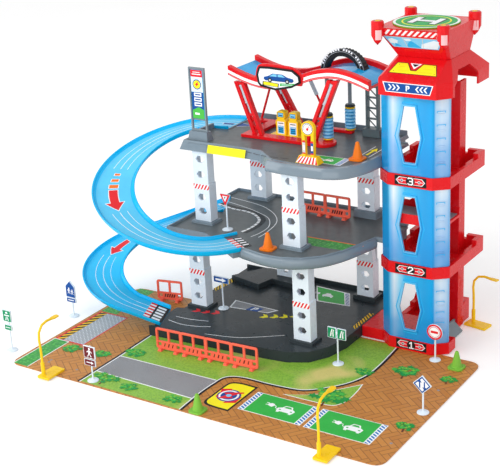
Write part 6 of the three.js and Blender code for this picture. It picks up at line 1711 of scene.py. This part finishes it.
class GARAGE_OT_furniture(bpy.types.Operator):
    """Prints pumps, gauge stand, pylon sign and road signs"""

    bl_idname = "garage.furniture"
    bl_label = "Signs and station"

    def execute(self, context):
        self.pumps()
        self.gauge()
        self.pylon()
        self.signs()
        return {"FINISHED"}

    def pumps(self):
        print_sheet("pump_panels", wall_at(35.5), stacked(*([
            placed("white", place, rect(0.15, 0.06, 0.85, 0.57))
            + placed("slate", place, rect(0.2, 0.76, 0.8, 0.95)),
            placed("sky", place, rect(0.25, 0.78, 0.75, 0.93))
            + placed("cyan", place, rect(0.22, 0.09, 0.78, 0.40))
            + placed("slate", place, rect(0.24, 0.485, 0.76, 0.52)),
            placed("blue", place, *PUMP_LINES) + placed("ice", place, rect(0.27, 0.35, 0.73, 0.37))
            + placed("blue", place, rect(0.32, 0.81, 0.68, 0.85)),
        ] for place in PUMPS)))

    def gauge(self):
        x, z = GAUGE
        layers = [
            inked("slate", circle(x, z, 6.6)), inked("white", circle(x, z, 6.0)),
            inked("slate", stroke(arc(x, z, 5.0, GAUGE_ARC), 0.5))
            + inked("red", [(x - 0.9, z - 1.0), (x + 0.9, z - 1.0), (x + 2.4, z + 4.0)]),
            inked("red", circle(x, z - 0.6, 1.5, 16)),
        ]
        for middle, ink in ((x - 5.0, "silver"), (x + 5.0, "blue")):
            layers[0] += inked(ink, rect(middle - 1.7, 226, middle + 1.7, 239.5))
            layers[1] += inked("red", rect(middle - 1.7, 238.0, middle + 1.7, 240.2))
            layers[1] += inked("white", rect(middle - 1.1, 229.5, middle + 1.1, 235.0))
            layers[1] += inked("red", rect(middle - 1.7, 225.4, middle + 1.7, 226.8))
        print_sheet("gauge_face", wall_at(-37.8), layers)
        foot = Plane((0, -41.8, 215.3), (1, 0, 0), (0, 3.25, 8))
        print_sheet("gauge_stripes", foot, striped("red", "white", GAUGE_STRIPES, 6, 0.5, 0.6))

    def pylon(self):
        print_sheet("pylon_print", wall_at(-9.3), [
            inked("blue", PYLON),
            placed("red", PYLON, rect(0, 0.86, 1, 1)) + placed("ice", PYLON, rect(0, 0.55, 1, 0.86))
            + placed("leaf_light", PYLON, PYLON_LAWN)
            + placed("white", PYLON, *(rect(0.2, v, 0.84, v + 0.075) for v in PYLON_FIELDS)),
            placed("blue", PYLON, *(rect(0.28, v + 0.025, 0.76, v + 0.05) for v in PYLON_FIELDS))
            + placed("white", PYLON, rect(0.12, 0.905, 0.88, 0.925), rect(0.2, 0.95, 0.8, 0.965))
            + inked("blue", circle(*PYLON_DISC, 5.8, 28))
            + placed("white", PYLON, rect(0.2, 0.08, 0.6, 0.12)),
            inked("yellow", circle(*PYLON_DISC, 4.7, 28)), inked("red", PYLON_BOLT)])

    def board(self, print_name, sign, *layers):
        """Print on the front of a sign."""
        low, high = drawn_box(sign)
        print_sheet(print_name, wall_at(low.y + SIGN_FACE, (low.x + high.x) / 2), layers)

    def signs(self):
        rings = [inked(ink, circle(0, STOP_HEIGHT, radius, 36)) for ink, radius in STOP_RINGS]
        self.board("stop_print", "sign_stop", *rings, inked("red", STOP_BAR))
        self.board("yield_print", "sign_yield", *YIELD_LAYERS)
        arrows = []
        for x, foot, tip in DIAMOND_ARROWS:
            arrows += [rect(x - 0.7, 28.6, x + 0.7, 36.0), [(x - 2.1, foot), (x + 2.1, foot), (x, tip)]]
        self.board("diamond_print", "sign_diamond", inked("blue", shrunk(DIAMOND, 0.5)),
                   inked("white", shrunk(DIAMOND, 2.4)), inked("blue", *arrows))
        plates = [rect(a + 0.5, 31.6, b - 0.5, 43.2) for a, b in TWIN_SIDES]
        marks = [mark for a, b in TWIN_SIDES for mark in placed("white", rect(a, 31.1, b, 43.7), *TWIN_MARKS)]
        self.board("twin_print", "sign_twin", inked("deep_green", *plates), marks)
        self.board("brown_print", "sign_post_brown", inked("white", BROWN),
                   inked("brown", shrunk(BROWN, 0.6)), inked("white", *WALKER))
        self.low_plate()
        self.barrier_slot_shade()
        figures = [moved(w, x, y, big) for x, y, big in ((-2.2, 6.8, 0.75), (2.8, 10.9, 0.6)) for w in WALKER]
        self.board("walking_print", "sign_walking", inked("white", *(shrunk(p, 0.2) for p in HOUSE_PLATES)),
                   inked("blue", *(shrunk(p, 0.7) for p in HOUSE_PLATES)),
                   inked("white", *figures, HOUSE_BAR))
        self.board("direction_print", "sign_direction",
                   inked("white", *(shrunk(p, 0.3) for p in ROUTE_PLATES)),
                   inked("deep_green", *(shrunk(p, 0.7) for p in ROUTE_PLATES)),
                   inked("white", *ROUTE_MARKS))
        self.board("arrow_print", "sign_arrow", inked("blue", ARROW_BOARD), inked("white", BOARD_ARROW))

    def low_plate(self):
        """Small second plate under the brown sign, with its arrow."""
        low, high = drawn_box("sign_post_brown")
        plane = wall_at(low.y + LOW_FACE, (low.x + high.x) / 2)
        bm = bmesh.new()
        patch(bm, plane, BROWN_LOW, -BROWN_LOW_THICK, 0.0)
        finished("sign_brown_low_plate", bm, ["white_plastic"])
        layers = [inked("brown", shrunk(BROWN_LOW, 0.7)), inked("white", BROWN_LOW_ARROW)]
        print_sheet("brown_low_print", plane, layers)

    def barrier_slot_shade(self):
        """Painted shade in the slanted slots on the lower panels of the barriers: dark coral patches laid
        over them.
        """
        for name, (x, y, foot, turn, panels) in BARRIERS.items():
            along = (math.cos(math.radians(turn)), math.sin(math.radians(turn)), 0)
            middles = [(panel + 0.5) * BARRIER_PITCH + BARRIER_START for panel in range(panels)]
            slot_shades = [moved(BARRIER_SLOT, middle + i * SLOT_PITCH, 0)
                     for middle in middles for i in range(-2, 3)]
            # Each slot is printed in the dark slot ink as painted shade.
            print_sheet(name + "_slots", Plane((x, y, foot), along, (0, 0, 1)), [inked("slot", *slot_shades)])


# Studio: floor, lamps and camera
FLOOR_SIZE, FLOOR_DROP, FLOOR_ROUGH, FLOOR_GLOW = 4.0, 0.0002, 0.9, 0.16
FLOOR_TINTS = [0.93, 0.93, 0.93, 1], [0.96, 0.96, 0.96, 1]
WHITE = (1, 1, 1, 1)
SKY_LIGHT = (0.8, 1.0)
LAMPS = (
    ("key", (-0.7, -1.8, 1.9), 1.0, 12.0), ("fill", (0.7, -1.9, 0.6), 1.5, 12.0),
    ("side", (-1.7, -1.1, 0.9), 1.2, 13.0),
)
LAMP_AIM = Vector((0, 0, 0.15))
YAW, PITCH, ROLL = math.radians(-33.87), math.radians(20.92), math.radians(2.99)
CAMERA_PLACE, SENSOR_WIDTH, CLIP = (569.3, -1114.6, 614.0), 36.0, (0.05, 50.0)


def seen_directly(tree):
    """1 for what the camera, a reflection or clear plastic shows of the backdrop."""
    path = node(tree, "ShaderNodeLightPath")
    return calc(tree, "MAXIMUM", path.outputs["Is Camera Ray"],
                calc(tree, "MAXIMUM", path.outputs["Is Glossy Ray"], path.outputs["Is Transmission Ray"]))


class GARAGE_OT_stage(bpy.types.Operator):
    """Sets the floor, the studio light and the camera"""

    bl_idname = "garage.stage"
    bl_label = "Stage"

    def execute(self, context):
        self.floor(context.scene)
        self.light(context.scene)
        self.camera(context.scene)
        context.scene.view_settings.view_transform = "Standard"
        return {"FINISHED"}

    def floor(self, scene):
        bm = bmesh.new()
        bmesh.ops.create_grid(bm, x_segments=2, y_segments=2, size=FLOOR_SIZE)
        mesh = bpy.data.meshes.new("floor")
        bm.to_mesh(mesh)
        bm.free()
        floor = bpy.data.objects.new("floor", mesh)
        scene.collection.objects.link(floor)
        mesh.transform(Matrix.Translation((0, 0, mat_low.z - FLOOR_DROP)))
        material, tree, shader = new_material("floor")
        tint = mixed(tree, mapped(tree, noise(tree, 2.0), *NOISE_RANGE, 0.0, 1.0), *FLOOR_TINTS)
        tree.links.new(tint, shader.inputs["Base Color"])
        shader.inputs["Roughness"].default_value = FLOOR_ROUGH
        shader.inputs["Emission Color"].default_value = WHITE
        glow = mapped(tree, seen_directly(tree), 0.0, 1.0, 0.0, FLOOR_GLOW)
        tree.links.new(glow, shader.inputs["Emission Strength"])
        mesh.materials.append(material)

    def light(self, scene):
        world = bpy.data.worlds.new("studio")
        scene.world = world
        world.use_nodes = True
        tree = world.node_tree
        back = tree.nodes["Background"]
        back.inputs["Color"].default_value = WHITE
        tree.links.new(mapped(tree, seen_directly(tree), 0.0, 1.0, *SKY_LIGHT), back.inputs["Strength"])
        for name, place, extent, power in LAMPS:
            lamp = bpy.data.lights.new(name, "AREA")
            lamp.shape, lamp.size, lamp.energy = "SQUARE", extent, power
            holder = bpy.data.objects.new(name, lamp)
            scene.collection.objects.link(holder)
            holder.location = place
            holder.rotation_mode = "QUATERNION"
            holder.rotation_quaternion = (LAMP_AIM - Vector(place)).to_track_quat("-Z", "Y")

    def camera(self, scene):
        ahead = Vector((math.sin(YAW) * math.cos(PITCH), math.cos(YAW) * math.cos(PITCH), -math.sin(PITCH)))
        level = Vector((math.cos(YAW), -math.sin(YAW), 0))
        drop = ahead.cross(level)
        right = level * math.cos(ROLL) + drop * math.sin(ROLL)
        down = drop * math.cos(ROLL) - level * math.sin(ROLL)
        view = bpy.data.cameras.new("camera")
        view.sensor_width, view.sensor_fit = SENSOR_WIDTH, "HORIZONTAL"
        view.lens = sizes().camera_lens
        view.clip_start, view.clip_end = CLIP
        camera = bpy.data.objects.new("camera", view)
        scene.collection.objects.link(camera)
        turn = Matrix((right, -down, -ahead)).transposed().to_4x4()
        camera.matrix_world = Matrix.Translation(at(*CAMERA_PLACE)) @ turn
        scene.camera = camera


class GARAGE_PT_panel(bpy.types.Panel):
    """Lists the garage's steps in the sidebar"""

    bl_label = "Toy parking garage"
    bl_idname = "GARAGE_PT_panel"
    bl_space_type = "VIEW_3D"
    bl_region_type = "UI"
    bl_category = "Garage"

    def draw(self, context):
        for made in OPERATORS:
            self.layout.operator(made.bl_idname)


OPERATORS = [GARAGE_OT_shell, GARAGE_OT_ramps, GARAGE_OT_mat, GARAGE_OT_decks, GARAGE_OT_tower,
             GARAGE_OT_canopy, GARAGE_OT_furniture, GARAGE_OT_stage]
CLASSES = [GarageColours, GarageSizes, *OPERATORS, GARAGE_PT_panel]


def register():
    for made in CLASSES:
        bpy.utils.register_class(made)
    bpy.types.Scene.garage_colours = PointerProperty(type=GarageColours)
    bpy.types.Scene.garage_sizes = PointerProperty(type=GarageSizes)


def unregister():
    del bpy.types.Scene.garage_sizes
    del bpy.types.Scene.garage_colours
    for made in reversed(CLASSES):
        bpy.utils.unregister_class(made)


def main():
    register()
    for made in OPERATORS:
        group, action = made.bl_idname.split(".")
        getattr(getattr(bpy.ops, group), action)()


if __name__ == "__main__":
    main()
